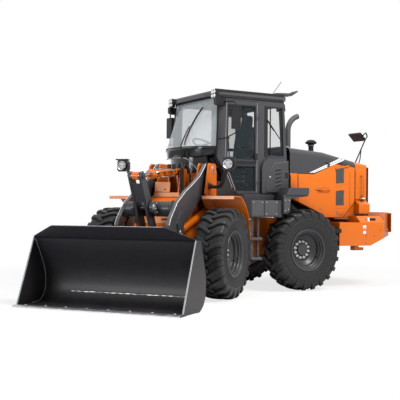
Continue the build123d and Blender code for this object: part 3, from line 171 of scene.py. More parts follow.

# ---- finishes of the steel work ------------------------------------------------------------------
# Frames, weights and hood are sprayed with a gloss enamel, the cab and loader with a dark satin
# one. The paint has an even tone with a fine skin, softened edges, painted shade in its corners
# and some road dust low down.


def mixed(tree, first=None, second=None):
    """Adds a colour mix. A colour that is given stands on that side of it."""
    made = tree.nodes.new("ShaderNodeMix")
    made.data_type = "RGBA"
    for side_of_mix, colour in ((6, first), (7, second)):
        if colour:
            made.inputs[side_of_mix].default_value = (*colour, 1.0)
    return made


def two_tones(tree, colour, tone):
    """A mix from a shade below a colour to one as far above it."""
    return mixed(tree, [c * (1 - tone) for c in colour],
                 [min(1.0, c * (1 + tone)) for c in colour])


def painted(name, colour, roughness, coat, dust=0.25):
    """Enamel: the tone drifts slowly, a fine grain lifts the skin, corners that see little of the
    sky darken, and dust fades in near the ground."""
    made, tree, skin = new_finish(name)
    set_to(skin, Specular_IOR_Level=0.28, Coat_Weight=coat, Coat_Roughness=0.16, Coat_IOR=1.28)
    place = node(tree, "TexCoord")
    slow = node(tree, "TexNoise", Scale=1.7, Detail=5.0)
    shade = two_tones(tree, colour, 0.06)
    split = node(tree, "SeparateXYZ")
    low = node(tree, "MapRange", From_Min=0.1, From_Max=1.1, To_Min=dust, To_Max=0.0)
    patch = node(tree, "TexNoise", Scale=9.0, Detail=8.0)
    amount = node(tree, "Math", "MULTIPLY")
    dusty = mixed(tree, second=(0.23, 0.20, 0.165))
    # painted shade: the colour darkens where the occlusion finds little open sky
    nook = node(tree, "AmbientOcclusion", Distance=0.32)
    nook.samples = 6
    painted_corner_shade = node(tree, "MapRange", From_Min=0.15, From_Max=0.85, To_Min=0.25, To_Max=1.0)
    shaded = node(tree, "VectorMath", "SCALE")
    rough = node(tree, "MapRange", To_Min=roughness, To_Max=min(1.0, roughness + 0.35))
    fine = node(tree, "TexNoise", Scale=260.0, Detail=2.0)
    bump = node(tree, "Bump", Strength=0.12, Distance=0.0006)
    soft = node(tree, "Bevel", Radius=0.004)
    soft.samples = 4
    wire(tree, (
        (place.outputs["Object"], slow.inputs["Vector"]),
        (place.outputs["Object"], patch.inputs["Vector"]),
        (place.outputs["Object"], fine.inputs["Vector"]),
        (place.outputs["Object"], split.inputs[0]),
        (slow.outputs["Fac"], shade.inputs[0]),
        (split.outputs["Z"], low.inputs["Value"]),
        (low.outputs[0], amount.inputs[0]),
        (patch.outputs["Fac"], amount.inputs[1]),
        (shade.outputs[2], dusty.inputs[6]),
        (amount.outputs[0], dusty.inputs[0]),
        (nook.outputs["AO"], painted_corner_shade.inputs["Value"]),
        (dusty.outputs[2], shaded.inputs[0]),
        (painted_corner_shade.outputs[0], shaded.inputs["Scale"]),
        (shaded.outputs[0], skin.inputs["Base Color"]),
        (amount.outputs[0], rough.inputs["Value"]),
        (rough.outputs[0], skin.inputs["Roughness"]),
        (fine.outputs["Fac"], bump.inputs["Height"]),
        (soft.outputs[0], bump.inputs["Normal"]),
        (bump.outputs[0], skin.inputs["Normal"]),
    ))
    return made


def dress(material, *names):
    """Gives CAD nodes a finish."""
    for name in names:
        mesh = nodes[name].data
        mesh.materials.clear()
        mesh.materials.append(material)


enamel_orange = (0.660, 0.139, 0.004)
enamel_dark = (0.050, 0.050, 0.056)
orange = painted("orange_enamel", enamel_orange, 0.33, 0.60)
dark = painted("dark_enamel", enamel_dark, 0.40, 0.40)
dress(orange, "rear_frame", "counterweight", "front_frame", "front_fenders", "hood_tail",
      "hood_door_left", "hood_door_right", "lift_barrels", "tilt_barrel", "hood_sides",
      "tail_lamps")
dress(dark, "rear_axle", "front_axle", "hood_cowl", "cab_frame", "cab_roof", "cab_door",
      "side_covers", "steps_and_deck", "rear_fenders", "lift_arms", "bell_crank", "bucket_link",
      "steer_left_barrel", "steer_right_barrel", "roof_fittings", "front_cowl", "grille_door")

# ---- wheels --------------------------------------------------------------------------------------
# Tubeless tyres of moulded rubber on dark steel rims with deep dishes, each held by twelve
# bright nuts. Two rows of lugs slant forward from the shoulders and overlap in the middle, and
# the grooves between them are darkened to black by painted shade.
wheelbase = 2.6
track = 1.725
axle_height = 0.64
turn = math.radians(36.84)
turned_left = np.array([[math.cos(turn), math.sin(turn), 0],
                        [-math.sin(turn), math.cos(turn), 0],
                        [0, 0, 1]])


def plain(name, colour, roughness, metal=0.0, tone=0.1, scale=40.0, grain=0.2, depth=0.0005):
    """A dull moulded or cast surface: mottled tone and a fine grain."""
    made, tree, skin = new_finish(name)
    set_to(skin, Metallic=metal, Specular_IOR_Level=0.28)
    place = node(tree, "TexCoord")
    mottle = node(tree, "TexNoise", Scale=scale, Detail=6.0)
    shade = two_tones(tree, colour, tone)
    rough = node(tree, "MapRange", To_Min=roughness - 0.08, To_Max=min(1.0, roughness + 0.08))
    bump = node(tree, "Bump", Strength=grain, Distance=depth)
    wire(tree, (
        (place.outputs["Object"], mottle.inputs["Vector"]),
        (mottle.outputs["Fac"], shade.inputs[0]),
        (shade.outputs[2], skin.inputs["Base Color"]),
        (mottle.outputs["Fac"], rough.inputs["Value"]),
        (rough.outputs[0], skin.inputs["Roughness"]),
        (mottle.outputs["Fac"], bump.inputs["Height"]),
        (bump.outputs[0], skin.inputs["Normal"]),
    ))
    return made


def net(grid, ring=False):
    """Faces over rows and columns of points, each row closed on itself. ring joins the last row
    to the first; otherwise both are capped. Where the faces' volume comes out negative they point
    inwards, and all are turned round."""
    rows, cols = grid.shape[:2]
    index = np.arange(rows * cols).reshape(rows, cols)
    index = np.hstack((index, index[:, :1]))
    if ring:
        index = np.vstack((index, index[:1]))
    quads = np.stack((index[:-1, :-1], index[:-1, 1:], index[1:, 1:], index[1:, :-1]), -1)
    quads = quads.reshape(-1, 4)
    caps = [] if ring else [index[0, :cols][::-1], index[-1, :cols]]
    points = grid.reshape(-1, 3)
    corner = points - points.mean(0)
    volume = 0.0
    for faces in (quads, *(cap[None] for cap in caps)):
        first = corner[faces[:, :1]]
        sides = np.cross(corner[faces[:, 1:-1]], corner[faces[:, 2:]])
        volume += float((first * sides).sum())
    if volume < 0:
        quads = quads[:, ::-1]
        caps = [cap[::-1] for cap in caps]
    return points, quads.tolist() + [cap.tolist() for cap in caps]


def turned(profile, centre, axis, count=32, ring=False):
    """A lathe form: each (radius, height) of the profile goes round an axis through a centre."""
    axis = np.asarray(axis, float) / np.linalg.norm(axis)
    first = np.cross(axis, np.eye(3)[np.argmin(np.abs(axis))])
    first /= np.linalg.norm(first)
    second = np.cross(axis, first)
    radius, height = np.asarray(profile, float).T
    angle = np.linspace(0, 2 * np.pi, count, endpoint=False)
    spoke = np.cos(angle)[:, None] * first + np.sin(angle)[:, None] * second
    grid = (np.asarray(centre, float) + height[:, None, None] * axis
            + radius[:, None, None] * spoke[None])
    return net(grid, ring=ring)


def piece(name, parts, finish, body, front=False, bevel=0.0, crease=35.0):
    """One object of worked-out parts. They are given from the pivot along the rear frame, or
    along the front frame, and keep their place in the mesh."""
    starts = np.concatenate(([0], np.cumsum([len(part[0]) for part in parts])))
    points = np.vstack([part[0] for part in parts])
    if front:
        points = points @ turned_left
    faces = [[start + k for k in face] for start, part in zip(starts.tolist(), parts)
             for face in part[1]]
    mesh = bpy.data.meshes.new(name)
    mesh.from_pydata((points + pivot).tolist(), [], faces)
    mesh.shade_smooth()
    mesh.set_sharp_from_angle(angle=math.radians(crease))
    mesh.materials.append(finish)
    made = bpy.data.objects.new(name, mesh)
    scene.collection.objects.link(made)
    if bevel:
        edges = made.modifiers.new("edges", "BEVEL")
        edges.width = bevel
        edges.segments = 2
        edges.limit_method = "ANGLE"
        edges.angle_limit = math.radians(40)
        edges.harden_normals = True
    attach(made, body)
    return made


rubber = plain("tyre_rubber", (0.028, 0.028, 0.030), 0.34, tone=0.25, scale=30.0)
rubber_tree = rubber.node_tree
rubber_skin = rubber_tree.nodes["Principled BSDF"]
set_to(rubber_skin, Specular_IOR_Level=0.13)
rubber_tone = rubber_skin.inputs["Base Color"].links[0].from_socket
# painted shade: where little open sky reaches, in the grooves between the lugs, the rubber turns near
# black
groove = node(rubber_tree, "AmbientOcclusion", Distance=0.07)
groove.samples = 6
groove_shade_share = node(rubber_tree, "MapRange", From_Min=0.25, From_Max=0.95)
groove_painted_shade = mixed(rubber_tree, first=(0.004, 0.004, 0.004))
wire(rubber_tree, (
    (groove.outputs["AO"], groove_shade_share.inputs["Value"]),
    (groove_shade_share.outputs[0], groove_painted_shade.inputs[0]),
    (rubber_tone, groove_painted_shade.inputs[7]),
    (groove_painted_shade.outputs[2], rubber_skin.inputs["Base Color"]),
))
steel = plain("bare_steel", (0.62, 0.62, 0.63), 0.34, metal=1.0)
chrome = plain("chrome_rods", (0.80, 0.80, 0.82), 0.14, metal=1.0, tone=0.02, grain=0.02)
dress(chrome, "lift_rods", "tilt_rod", "steer_left_rod", "steer_right_rod")
bucket_paint = painted("bucket_enamel", (0.010, 0.009, 0.013), 0.40, 0.05, dust=0.10)
dress(bucket_paint, "bucket")

# The casing's outline from bead to bead, as (radius, distance from the middle plane).
half_casing = [(0.306, 0.178), (0.331, 0.178), (0.338, 0.185), (0.350, 0.189), (0.372, 0.196),
               (0.400, 0.202), (0.430, 0.2055), (0.462, 0.2065), (0.468, 0.2095), (0.476, 0.2095),
               (0.480, 0.206), (0.500, 0.205), (0.530, 0.203), (0.556, 0.199), (0.578, 0.190),
               (0.594, 0.172), (0.602, 0.140), (0.6055, 0.090), (0.607, 0.040)]
casing = half_casing + [(r, -v) for r, v in half_casing[::-1]]
# A lug's middle line: place across, base radius, height, place round the tread, half its width.
lug_line = np.array([
    (-0.024, 0.606, 0.026, 0.082, 0.020), (-0.018, 0.606, 0.033, 0.078, 0.026),
    (0.008, 0.606, 0.034, 0.066, 0.029), (0.040, 0.606, 0.034, 0.046, 0.030),
    (0.075, 0.605, 0.034, 0.018, 0.030), (0.110, 0.603, 0.034, -0.004, 0.031),
    (0.142, 0.600, 0.033, -0.018, 0.032), (0.168, 0.595, 0.032, -0.026, 0.033),
    (0.186, 0.580, 0.027, -0.031, 0.033), (0.197, 0.558, 0.018, -0.034, 0.032),
    (0.2025, 0.534, 0.011, -0.036, 0.030), (0.2045, 0.512, 0.006, -0.037, 0.027),
    (0.205, 0.492, 0.001, -0.037, 0.022),
])
tread_radius = 0.62
lug_count = 22
lug_pitch = 2 * np.pi / lug_count


def lug(row, spin):
    """A rounded bar carried along the lug's line: it stands square to the casing, is wider at
    its foot, and its middle line is wound round the axle by its place over the radius."""
    across, base, height, place, half = lug_line.T
    way = np.gradient(np.stack((across, base), -1), axis=0)
    way /= np.linalg.norm(way, axis=1)[:, None]
    out_across, out_radius = -way[:, 1], way[:, 0]
    share = np.array([-1.14, -1.03, -0.93, -0.78, 0.78, 0.93, 1.03, 1.14])
    lift = np.array([-0.25, 0.62, 0.93, 1.0, 1.0, 0.93, 0.62, -0.25])
    rise = height[:, None] * lift - 0.003 * (lift < 0)
    radius = base[:, None] + rise * out_radius[:, None]
    angle = (place[:, None] + half[:, None] * share) / tread_radius + spin
    grid = np.stack((radius * np.sin(angle),
                     row * (across[:, None] + rise * out_across[:, None]),
                     radius * np.cos(angle)), -1)
    return net(grid)


rim_outline = [(0.004, -0.017), (0.262, -0.017), (0.266, -0.120), (0.284, -0.165),
               (0.290, -0.190), (0.331, -0.190), (0.331, -0.182), (0.3052, -0.181),
               (0.3052, 0.181), (0.331, 0.182), (0.334, 0.187), (0.330, 0.192), (0.322, 0.1925),
               (0.3195, 0.186), (0.303, 0.184), (0.298, 0.176), (0.296, 0.152), (0.290, 0.147),
               (0.281, 0.146), (0.277, 0.140), (0.275, 0.112), (0.268, 0.106), (0.262, 0.104),
               (0.257, 0.096), (0.254, 0.058), (0.246, 0.048), (0.230, 0.040), (0.214, 0.022),
               (0.190, 0.008), (0.166, 0.003), (0.163, 0.009), (0.158, 0.011), (0.100, 0.011),
               (0.096, 0.014), (0.094, 0.030), (0.088, 0.036), (0.050, 0.040), (0.004, 0.041)]
nut_outline = [(0.004, 0.0), (0.021, 0.0), (0.021, 0.003), (0.0155, 0.005), (0.0155, 0.018),
               (0.013, 0.021), (0.009, 0.022), (0.009, 0.030), (0.007, 0.032), (0.002, 0.032)]
nut_circle = 0.129
nut_angles = (np.arange(12) * np.pi / 6 + 0.2).tolist()
# The valve guard's corners: radius, place across, angle.
guard_corners = [(0.236, 0.075, 3.50), (0.276, 0.135, 3.62), (0.276, 0.135, 3.36)]
guard_rod = 0.006
wheel_places = {
    # name: on the front frame, x of the axle, side
    "front_left": (True, wheelbase / 2, 1), "front_right": (True, wheelbase / 2, -1),
    "rear_left": (False, -wheelbase / 2, 1), "rear_right": (False, -wheelbase / 2, -1),
}
dark_rim = painted("rim_enamel", (0.045, 0.045, 0.050), 0.34, 0.20, dust=0.12)
for wheel, (on_front, axle_x, hand) in wheel_places.items():
    hub = np.array([axle_x, hand * track / 2, axle_height])
    parts = [turned(casing, (0, 0, 0), (0, 1, 0), 96, ring=True)]
    parts += [lug(row, lug_pitch * (k + 0.25 * row) + math.pi / 2)
              for row in (1, -1) for k in range(lug_count)]
    parts = [(points + hub, faces) for points, faces in parts]
    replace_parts(piece("tread_" + wheel, parts, rubber, "wheel_" + wheel, on_front,
                      crease=50.0), "tyre_" + wheel)
    parts = [turned([(r, v * hand) for r, v in rim_outline], hub, (0, 1, 0), 72)]
    # valve guard between two of the dish's steps, its foot nearer to the middle plane
    for stretch in zip(guard_corners, guard_corners[1:] + guard_corners[:1]):
        ends = np.array([(r * math.cos(t), hand * v, r * math.sin(t)) for r, v, t in stretch]) + hub
        way = ends[1] - ends[0]
        parts.append(turned([(guard_rod, 0.0), (guard_rod, float(np.linalg.norm(way)))], ends[0],
                            way, 8))
    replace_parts(piece("dish_" + wheel, parts, dark_rim, "wheel_" + wheel, on_front,
                      crease=28.0), "rim_" + wheel)
    nuts = [turned(nut_outline, hub + (nut_circle * math.cos(t), hand * 0.010,
                                       nut_circle * math.sin(t)), (0, hand, 0), 12)
            for t in nut_angles]
    piece("nuts_" + wheel, nuts, steel, "wheel_" + wheel, on_front, crease=30.0)

# ---- cab -----------------------------------------------------------------------------------------
# A welded steel shell in satin grey with rubber-sealed panes. The windscreen is one bent pane
# that stands out at its foot; the wiper sweeps it from the cowl. Inside are the seat with its
# rests, the steering wheel on its column and a side console.


def glass(name, colour, roughness, alpha):
    """A thin pane: a tint that lets part of what is behind it show."""
    made, _, skin = new_finish(name)
    set_to(skin, Base_Color=(*colour, 1.0), Roughness=roughness, Alpha=alpha)
    return made


cab_face = 0.7045  # just proud of the side walls and the door
clear = glass("cab_glass", (0.030, 0.045, 0.050), 0.02, 0.20)
dress(clear, "cab_glass", "door_glass")
black = plain("black_plastic", (0.010, 0.010, 0.012), 0.40)
grey_panel = painted("panel_grey", (0.070, 0.070, 0.076), 0.42, 0.30)
glossy_black = painted("cowl_black", (0.012, 0.012, 0.014), 0.16, 0.60, dust=0.0)
cloth = plain("seat_cloth", (0.032, 0.047, 0.062), 0.85, tone=0.10, scale=420.0, grain=0.15,
              depth=0.0003)
dress(black, "steering_console", "mirrors", "work_lamps", "rear_mirror", "engine_block")
dress(steel, "grab_handles")


def rect(left, right, low, high):
    """An outline's four corners, round from the first side's low one."""
    return (left, low), (right, low), (right, high), (left, high)


def strip(half_side, half_height):
    """The section of a flat strip, as (side, height) pairs about its middle."""
    return rect(-half_side, half_side, -half_height, half_height)


def prism(outline, axis, low, high):
    """A plate: an outline in the plane square to an axis, carried along it from low to high."""
    flat = np.asarray(outline, float)
    return net(np.stack([np.insert(flat, axis, level, axis=1) for level in (low, high)]))


def block(low, high):
    """A rectangular plate between two corners."""
    return prism(rect(low[0], high[0], low[1], high[1]), 2, low[2], high[2])


def bent(corners, radius, steps=5):
    """A line through corners, each rounded along the parabola that starts and ends a radius from
    it, or halfway along a leg that is shorter."""
    corners = np.asarray(corners, float)
    rows = [corners[:1]]
    share = np.linspace(0, 1, steps + 1)[:, None]
    for before, corner, after in zip(corners[:-2], corners[1:-1], corners[2:]):
        legs = []
        for leg in (before - corner, after - corner):
            length = np.linalg.norm(leg)
            legs.append(leg * (radius / length if radius < length else 0.5))
        rows.append(corner + (1 - share) ** 2 * legs[0] + share ** 2 * legs[1])
    return np.vstack(rows + [corners[-1:]])


def carried(section, path, upright=None):
    """A closed section of (side, height) pairs carried along a path and kept square to it. Its
    height turns towards upright, or towards the axis that the path uses least."""
    path = np.asarray(path, float)
    way = np.gradient(path, axis=0)
    way /= np.linalg.norm(way, axis=1)[:, None]
    if upright is None:
        upright = np.eye(3)[np.argmin(np.abs(way).mean(0))]
    beside = np.cross(way, np.asarray(upright, float))
    beside /= np.linalg.norm(beside, axis=1)[:, None]
    above = np.cross(beside, way)
    across, rise = np.asarray(section, float).T
    return net(path[:, None] + across[:, None] * beside[:, None] + rise[:, None] * above[:, None])


def bar(path, radius, sides=10, upright=None):
    """A round bar along a path."""
    angle = np.linspace(0, 2 * np.pi, sides, endpoint=False)
    return carried(np.stack((radius * np.cos(angle), radius * np.sin(angle)), -1), path, upright)


pane_half, pane_foot, pane_top, pane_thick = 0.690, 2.206, 2.979, 0.006


def wall_x(z):
    """Outer face of the cab's front wall at a height."""
    return 0.170 - 0.040 * (z - 2.05) / 0.935


def screen_point(across, z, out=0.0):
    """A point of the bent pane: it stands furthest out in the middle, less the higher it is, and
    falls back to the pillars with a power of 3.4 of its place across."""
    across, z = np.broadcast_arrays(np.asarray(across, float), np.asarray(z, float))
    bulge = 0.350 - 0.305 * (z - 2.205) / 0.775 + out
    share = np.clip(np.abs(across) / pane_half, 0, 1)
    return np.stack((wall_x(z) + 0.001 + bulge * (1 - share ** 3.4) + 0.2 * out, across, z), -1)


side, height = np.meshgrid(np.linspace(-pane_half, pane_half, 61),
                           np.linspace(pane_foot, pane_top, 17))
shell = np.concatenate((screen_point(side, height),
                        screen_point(side, height, -pane_thick)[:, ::-1]), axis=1)
# painted light: the pane's pale veil stands in for the bright surroundings seen in the glass
veiled = glass("screen_glass", (0.64, 0.69, 0.71), 0.03, 0.36)
pane = piece("windscreen_pane", [net(shell)], veiled, "root", crease=60.0)
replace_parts(pane, "windscreen")
seal_paint = plain("seal_rubber", (0.012, 0.012, 0.014), 0.6)
edge = np.linspace(-pane_half, pane_half, 49)
seals = []
for z, tall in ((2.214, 0.016), (2.968, 0.022)):
    seals.append(carried(strip(0.004, tall / 2), screen_point(edge, z, 0.004), (0, 0, 1)))
for hand in (1, -1):
    line = screen_point(hand * 0.684, np.linspace(pane_foot, pane_top, 12), 0.004)
    seals.append(carried(strip(0.010, 0.004), line, (1, 0, 0)))
piece("windscreen_seal", seals, seal_paint, "root", crease=40.0)

# Sun band: a thin smoked film that follows the bend of the pane, stuck on its inner face along the
# top edge.
side, height = np.meshgrid(np.linspace(-0.672, 0.672, 49), np.linspace(2.860, 2.962, 4))
band = np.concatenate((screen_point(side, height, -0.009),
                       screen_point(side, height, -0.012)[:, ::-1]), axis=1)
smoke = glass("smoked_glass", (0.16, 0.17, 0.18), 0.05, 0.50)
piece("sun_band", [net(band)], smoke, "root", crease=60.0)

# Wiper: a long rubber blade with a slight bow, on a pressed steel arm painted black. The arm turns
# on a boss that is bolted to the cowl.
blade_rise = np.linspace(2.83, 2.245, 17)
blade_side = np.interp(blade_rise, (2.245, 2.35, 2.52, 2.70, 2.83),
                       (0.285, 0.265, 0.275, 0.325, 0.395))
blade_at = screen_point(blade_side, blade_rise, 0.024)
arm_at = np.vstack((screen_point([0.272], [2.54], 0.048), screen_point([0.262], [2.40], 0.056),
                    screen_point([0.250], [2.23], 0.050), [(0.540, 0.235, 2.130),
                                                        (0.520, 0.215, 2.075)]))
wiper = [carried([(-0.010, -0.009), (0.010, -0.009), (0.005, 0.011), (-0.005, 0.011)], blade_at,
                 (1, 0, 0)),
         carried([(-0.011, -0.006), (0.011, -0.006), (0.008, 0.006), (-0.008, 0.006)],
                 bent(arm_at, 0.04), (1, 0, 0)),
         turned([(0.004, 0), (0.026, 0), (0.026, 0.03), (0.016, 0.046), (0.004, 0.048)],
                (0.488, 0.215, 2.075), (1, 0, 0), 16)]
piece("front_wiper", wiper, black, "root", crease=40.0)

# Gas strut of the window behind the door: a black cylinder and its thin rod, pinned to the side
# wall at both ends.
strut = [bar([(-0.735, 0.716, 2.66), (-1.02, 0.716, 2.33)], 0.008),
         bar([(-0.735, 0.716, 2.66), (-0.86, 0.716, 2.51)], 0.013)]
piece("rear_window_strut", strut, black, "root")

# Frame trim of black rubber and plastic, pushed on or glued: the strip behind the door, the line
# down the rear pillar, the beads under the roof, and the corner posts beside the windscreen.
trim = []
for hand in (1, -1):
    inner = hand * 0.690
    for outline, outer in (
        (((-0.690, 2.09), (-0.752, 2.09), (-0.748, 2.880), (-0.690, 2.880)), 0.7070),
        (rect(-0.796, -0.808, 2.112, 2.858), 0.7065),
    ):
        trim.append(prism(outline, 1, inner, hand * outer))
    trim.append(bar([(0.105, hand * 0.712, 2.975), (-1.045, hand * 0.712, 2.975)], 0.009, 8))
    trim.append(carried(strip(0.004, 0.010), [(-0.690, hand * cab_face, 2.868),
                                              (-1.040, hand * cab_face, 2.868)], (0, 0, 1)))
post = ((0.170, 2.06), (0.186, 2.06), (0.150, 2.93), (0.134, 2.93))
trim += [prism(post, 1, 0.660, 0.7025), prism(post, 1, -0.7025, -0.660)]
piece("cab_trim", trim, seal_paint, "root", crease=40.0)


def framed(corners, width, axis, low, high):
    """A flat frame of a width: an outline and the same grown away from its middle, both at two
    levels, joined into a closed wall."""
    outline = np.asarray(corners, float)
    middle = outline.mean(0)
    grown = outline + (outline - middle) / np.linalg.norm(outline - middle, axis=1)[:, None] * width
    rows = [np.insert(flat, axis, level, axis=1) for flat, level in (
        (outline, low), (grown, low), (grown, high), (outline, high))]
    return net(np.stack(rows), ring=True)


# Door: extruded rubber clipped round both panes, with a waist rail, an inner grab bar and a latch
# block screwed on. Its front and rear edges carry thin light strips, painted highlights.
rubber_in, rubber_out = 0.7032, 0.7068
door_seals = [
    framed(((-0.012, 2.052), (-0.030, 2.858), (-0.513, 2.858), (-0.513, 2.052)), 0.016, 1,
           rubber_in, rubber_out),
    framed(((-0.172, 1.562), (-0.022, 1.808), (-0.008, 1.928), (-0.513, 1.928),
            (-0.513, 1.562)), 0.016, 1, rubber_in, rubber_out),
    carried(strip(0.012, 0.020), [(0.000, 0.712, 1.990), (-0.530, 0.712, 1.990)], (0, 0, 1)),
    bar(bent([(-0.060, 0.668, 2.36), (-0.060, 0.640, 2.36), (-0.090, 0.640, 2.02),
              (-0.300, 0.640, 1.99), (-0.300, 0.668, 1.99)], 0.05), 0.011, 10, (0.5, 0.6, 0.62)),
    block((-0.505, 0.704, 2.03), (-0.545, 0.725, 2.13)),
]
piece("door_trim", door_seals, seal_paint, "cab_door", crease=40.0)
door_lip = [carried(strip(0.003, 0.003), [(foot_x, cab_face, foot_z), (top_x, cab_face, top_z)],
                    (0, 1, 0))
            for foot_x, foot_z, top_x, top_z in ((0.030, 2.06, 0.012, 2.93),
                                                 (-0.551, 1.53, -0.551, 2.92))]
# light grey for steel rails, bolts, knobs and collars; on the door's edges and the cowl's fold it is
# a painted highlight
light_grey_and_highlight = plain("pale_grey_and_painted_highlight", (0.34, 0.34, 0.36), 0.4, tone=0.2)
piece("door_edges", door_lip, light_grey_and_highlight, "cab_door")

# Work lamps under the roof's corners, in black housings: four square moulded lenses in each front
# one and a round one in each rear one.
lenses = [turned([(0.002, 0.0), (0.036, 0.0), (0.037, 0.004), (0.030, 0.007), (0.002, 0.009)],
                 (0.2405, hand * 0.693 + across_lamp, 3.005 + above), (1, 0, 0), 4)
          for hand in (1, -1) for across_lamp in (-0.031, 0.031) for above in (-0.029, 0.029)]
lens, _, lens_skin = new_finish("lamp_lens")
set_to(lens_skin, Base_Color=(0.92, 0.93, 0.94, 1.0), Roughness=0.12, Coat_Weight=0.8,
       Coat_Roughness=0.03)
piece("roof_lamp_lenses", lenses, lens, "root", crease=30.0)
rear_lenses = [turned([(0.002, 0.0), (0.045, 0.0), (0.048, 0.006), (0.030, 0.012), (0.002, 0.014)],
                      (-1.141, hand * 0.55, 2.895), (-1, 0, 0.14), 20) for hand in (1, -1)]
piece("rear_lamp_lenses", rear_lenses, lens, "root", crease=30.0)

# Rain gutter: a folded strip fixed along the roof's side edges, with a fine lip below it that
# throws the water clear of the door.
gutter = []
for hand in (1, -1):
    for section, front_x, rear_x, z in (
        ([(-0.004, -0.018), (0.006, -0.018), (0.008, 0.012), (-0.004, 0.018)], 0.215, -1.060, 3.070),
        (strip(0.003, 0.006), 0.180, -1.040, 2.998),
    ):
        gutter.append(carried(section, [(front_x, hand * cab_face, z), (rear_x, hand * cab_face, z)],
                              (0, 0, 1)))
piece("roof_gutter", gutter, seal_paint, "root", crease=40.0)

# Cowl: under the screen's foot a glossy sheet bent like the pane, with a folded lower edge. A thin
# light bar, a painted highlight, runs along the fold and down the flank of the column that carries
# it.
skirt_y = np.linspace(-0.680, 0.680, 61)
skirt_rows = []
for z, fall in ((2.180, 0.000), (2.150, 0.004), (2.100, 0.012), (2.064, 0.020), (2.060, 0.030),
                (2.066, 0.040), (2.100, 0.024), (2.180, 0.012)):
    low = screen_point(skirt_y, pane_foot, -0.004)
    low[:, 2] = z + 0.050 * np.clip((np.abs(skirt_y) - 0.42) / 0.26, 0, 1) ** 2 * (z < 2.15)
    low[:, 0] = np.maximum(low[:, 0] - fall, 0.162)
    skirt_rows.append(low)
piece("cowl_skirt", [net(np.stack(skirt_rows, axis=1))], glossy_black, "root",
      crease=35.0)
cowl_y = np.array((-0.360, -0.250, -0.130, 0.000, 0.130, 0.230, 0.290, 0.330, 0.362, 0.390,
                   0.412, 0.428))
cowl_z = np.array((2.058, 2.058, 2.057, 2.056, 2.056, 2.054, 2.040, 2.000, 1.950, 1.890, 1.830,
                   1.780))
column_x = 0.158 + 0.340 * np.interp(np.abs(cowl_y) / 0.460, (0, 0.35, 0.66, 0.80, 0.90, 1),
                                     (1, 0.95, 0.80, 0.64, 0.45, 0))
cowl_x = np.where(cowl_z > 2.03, screen_point(cowl_y, pane_foot)[:, 0] - 0.010, column_x + 0.012)
cowl_line = bar(np.stack((cowl_x, cowl_y, cowl_z), -1), 0.0095, 10)
piece("cowl_line", [cowl_line], light_grey_and_highlight, "root", crease=60.0)
dress(grey_panel, "cab_roof")
dress(glossy_black, "front_cowl")

# Rails beside the door's lower pane: two light steel bars, bent at their ends and screwed to the
# door.
rails = [bar(bent([(top[0], 0.7030, top[1] + 0.012), (top[0], 0.730, top[1]),
                   (low[0], 0.730, low[1]), (low[0], 0.7030, low[1] - 0.012)], 0.020), 0.007, 10,
             (0.9, 0.0, -0.3))
         for top, low in (((0.010, 1.807), (-0.085, 1.596)), ((-0.029, 1.815), (-0.140, 1.560)))]
piece("door_rails", rails, light_grey_and_highlight, "cab_door", crease=60.0)

# Mirrors: on each side a silvered pane, held in a black moulded rim.
mirror_skin = plain("mirror_silver", (0.86, 0.88, 0.90), 0.10, metal=1.0, tone=0.01, grain=0.0)
mirror_outlines = [rect(hand * 0.962, hand * 1.118, 2.483, 2.787) for hand in (1, -1)]
panes = [prism(outline, 0, 0.0215, 0.0255) for outline in mirror_outlines]
piece("mirror_panes", panes, mirror_skin, "root", bevel=0.001)
rims = [framed(outline, 0.016, 0, 0.019, 0.030) for outline in mirror_outlines]
piece("mirror_rims", rims, black, "root")

# Seat: cloth-covered foam pads, sewn in channels, for the pan, the back and the headrest. They
# rest on a black moulded shell over a sprung base.


def squared(wave, power):
    """A sine or cosine, squared off by a power below one that keeps its sign."""
    return np.sign(wave) * np.abs(wave) ** power


def cushion(half_sizes, squareness, crown, dish):
    """A pillow: a ball stretched to half sizes and squared off, its top raised by crown in the
    middle and by dish, with the fourth power of the place across, at the sides. Fine channels
    are sewn along it and across it."""
    down, round_ = np.meshgrid(np.radians(np.linspace(-88, 88, 33)),
                               np.linspace(0, 2 * np.pi, 64, endpoint=False), indexing="ij")
    a, b, c = half_sizes
    x = a * squared(np.cos(down), squareness) * squared(np.cos(round_), squareness)
    y = b * squared(np.cos(down), squareness) * squared(np.sin(round_), squareness)
    z = c * squared(np.sin(down), squareness)
    top = z > 0
    z = z + top * (crown * (1 - (x / a) ** 2) * (1 - (y / b) ** 2) + dish * (y / b) ** 4)
    z = z - top * 0.005 * np.exp(-((np.abs(y) - 0.66 * b) / 0.006) ** 2)
    z = z - top * 0.004 * np.exp(-((np.abs(x) - 0.45 * a) / 0.006) ** 2)
    return np.stack((x, y, z), -1)


def leaned(grid, centre, angle):
    """A pillow turned about the cross axis by an angle, its top towards +x at 90 degrees, and
    moved to its centre."""
    c, s = math.cos(angle), math.sin(angle)
    turn_y = np.array([[c, 0, -s], [0, 1, 0], [s, 0, c]])
    return net(grid @ turn_y + np.asarray(centre))


seat_parts = (
    # name, form, centre, lean, how full the pad is
    ("seat_cushion", cushion((0.245, 0.245, 0.068), 0.34, 0.012, 0.016),
     (-0.520, 0, 2.035), 0.0, 0.7),
    ("seat_back", cushion((0.285, 0.228, 0.052), 0.34, 0.010, 0.022),
     (-0.773, 0, 2.335), math.radians(82), 0.7),
    ("seat_headrest", cushion((0.118, 0.128, 0.046), 0.42, 0.006, 0.0),
     (-0.820, 0, 2.682), math.radians(86), 0.8),
)
for name, form, centre, angle, fill in seat_parts:
    made = piece(name, [leaned(form, centre, angle)], cloth, "root", crease=70.0)

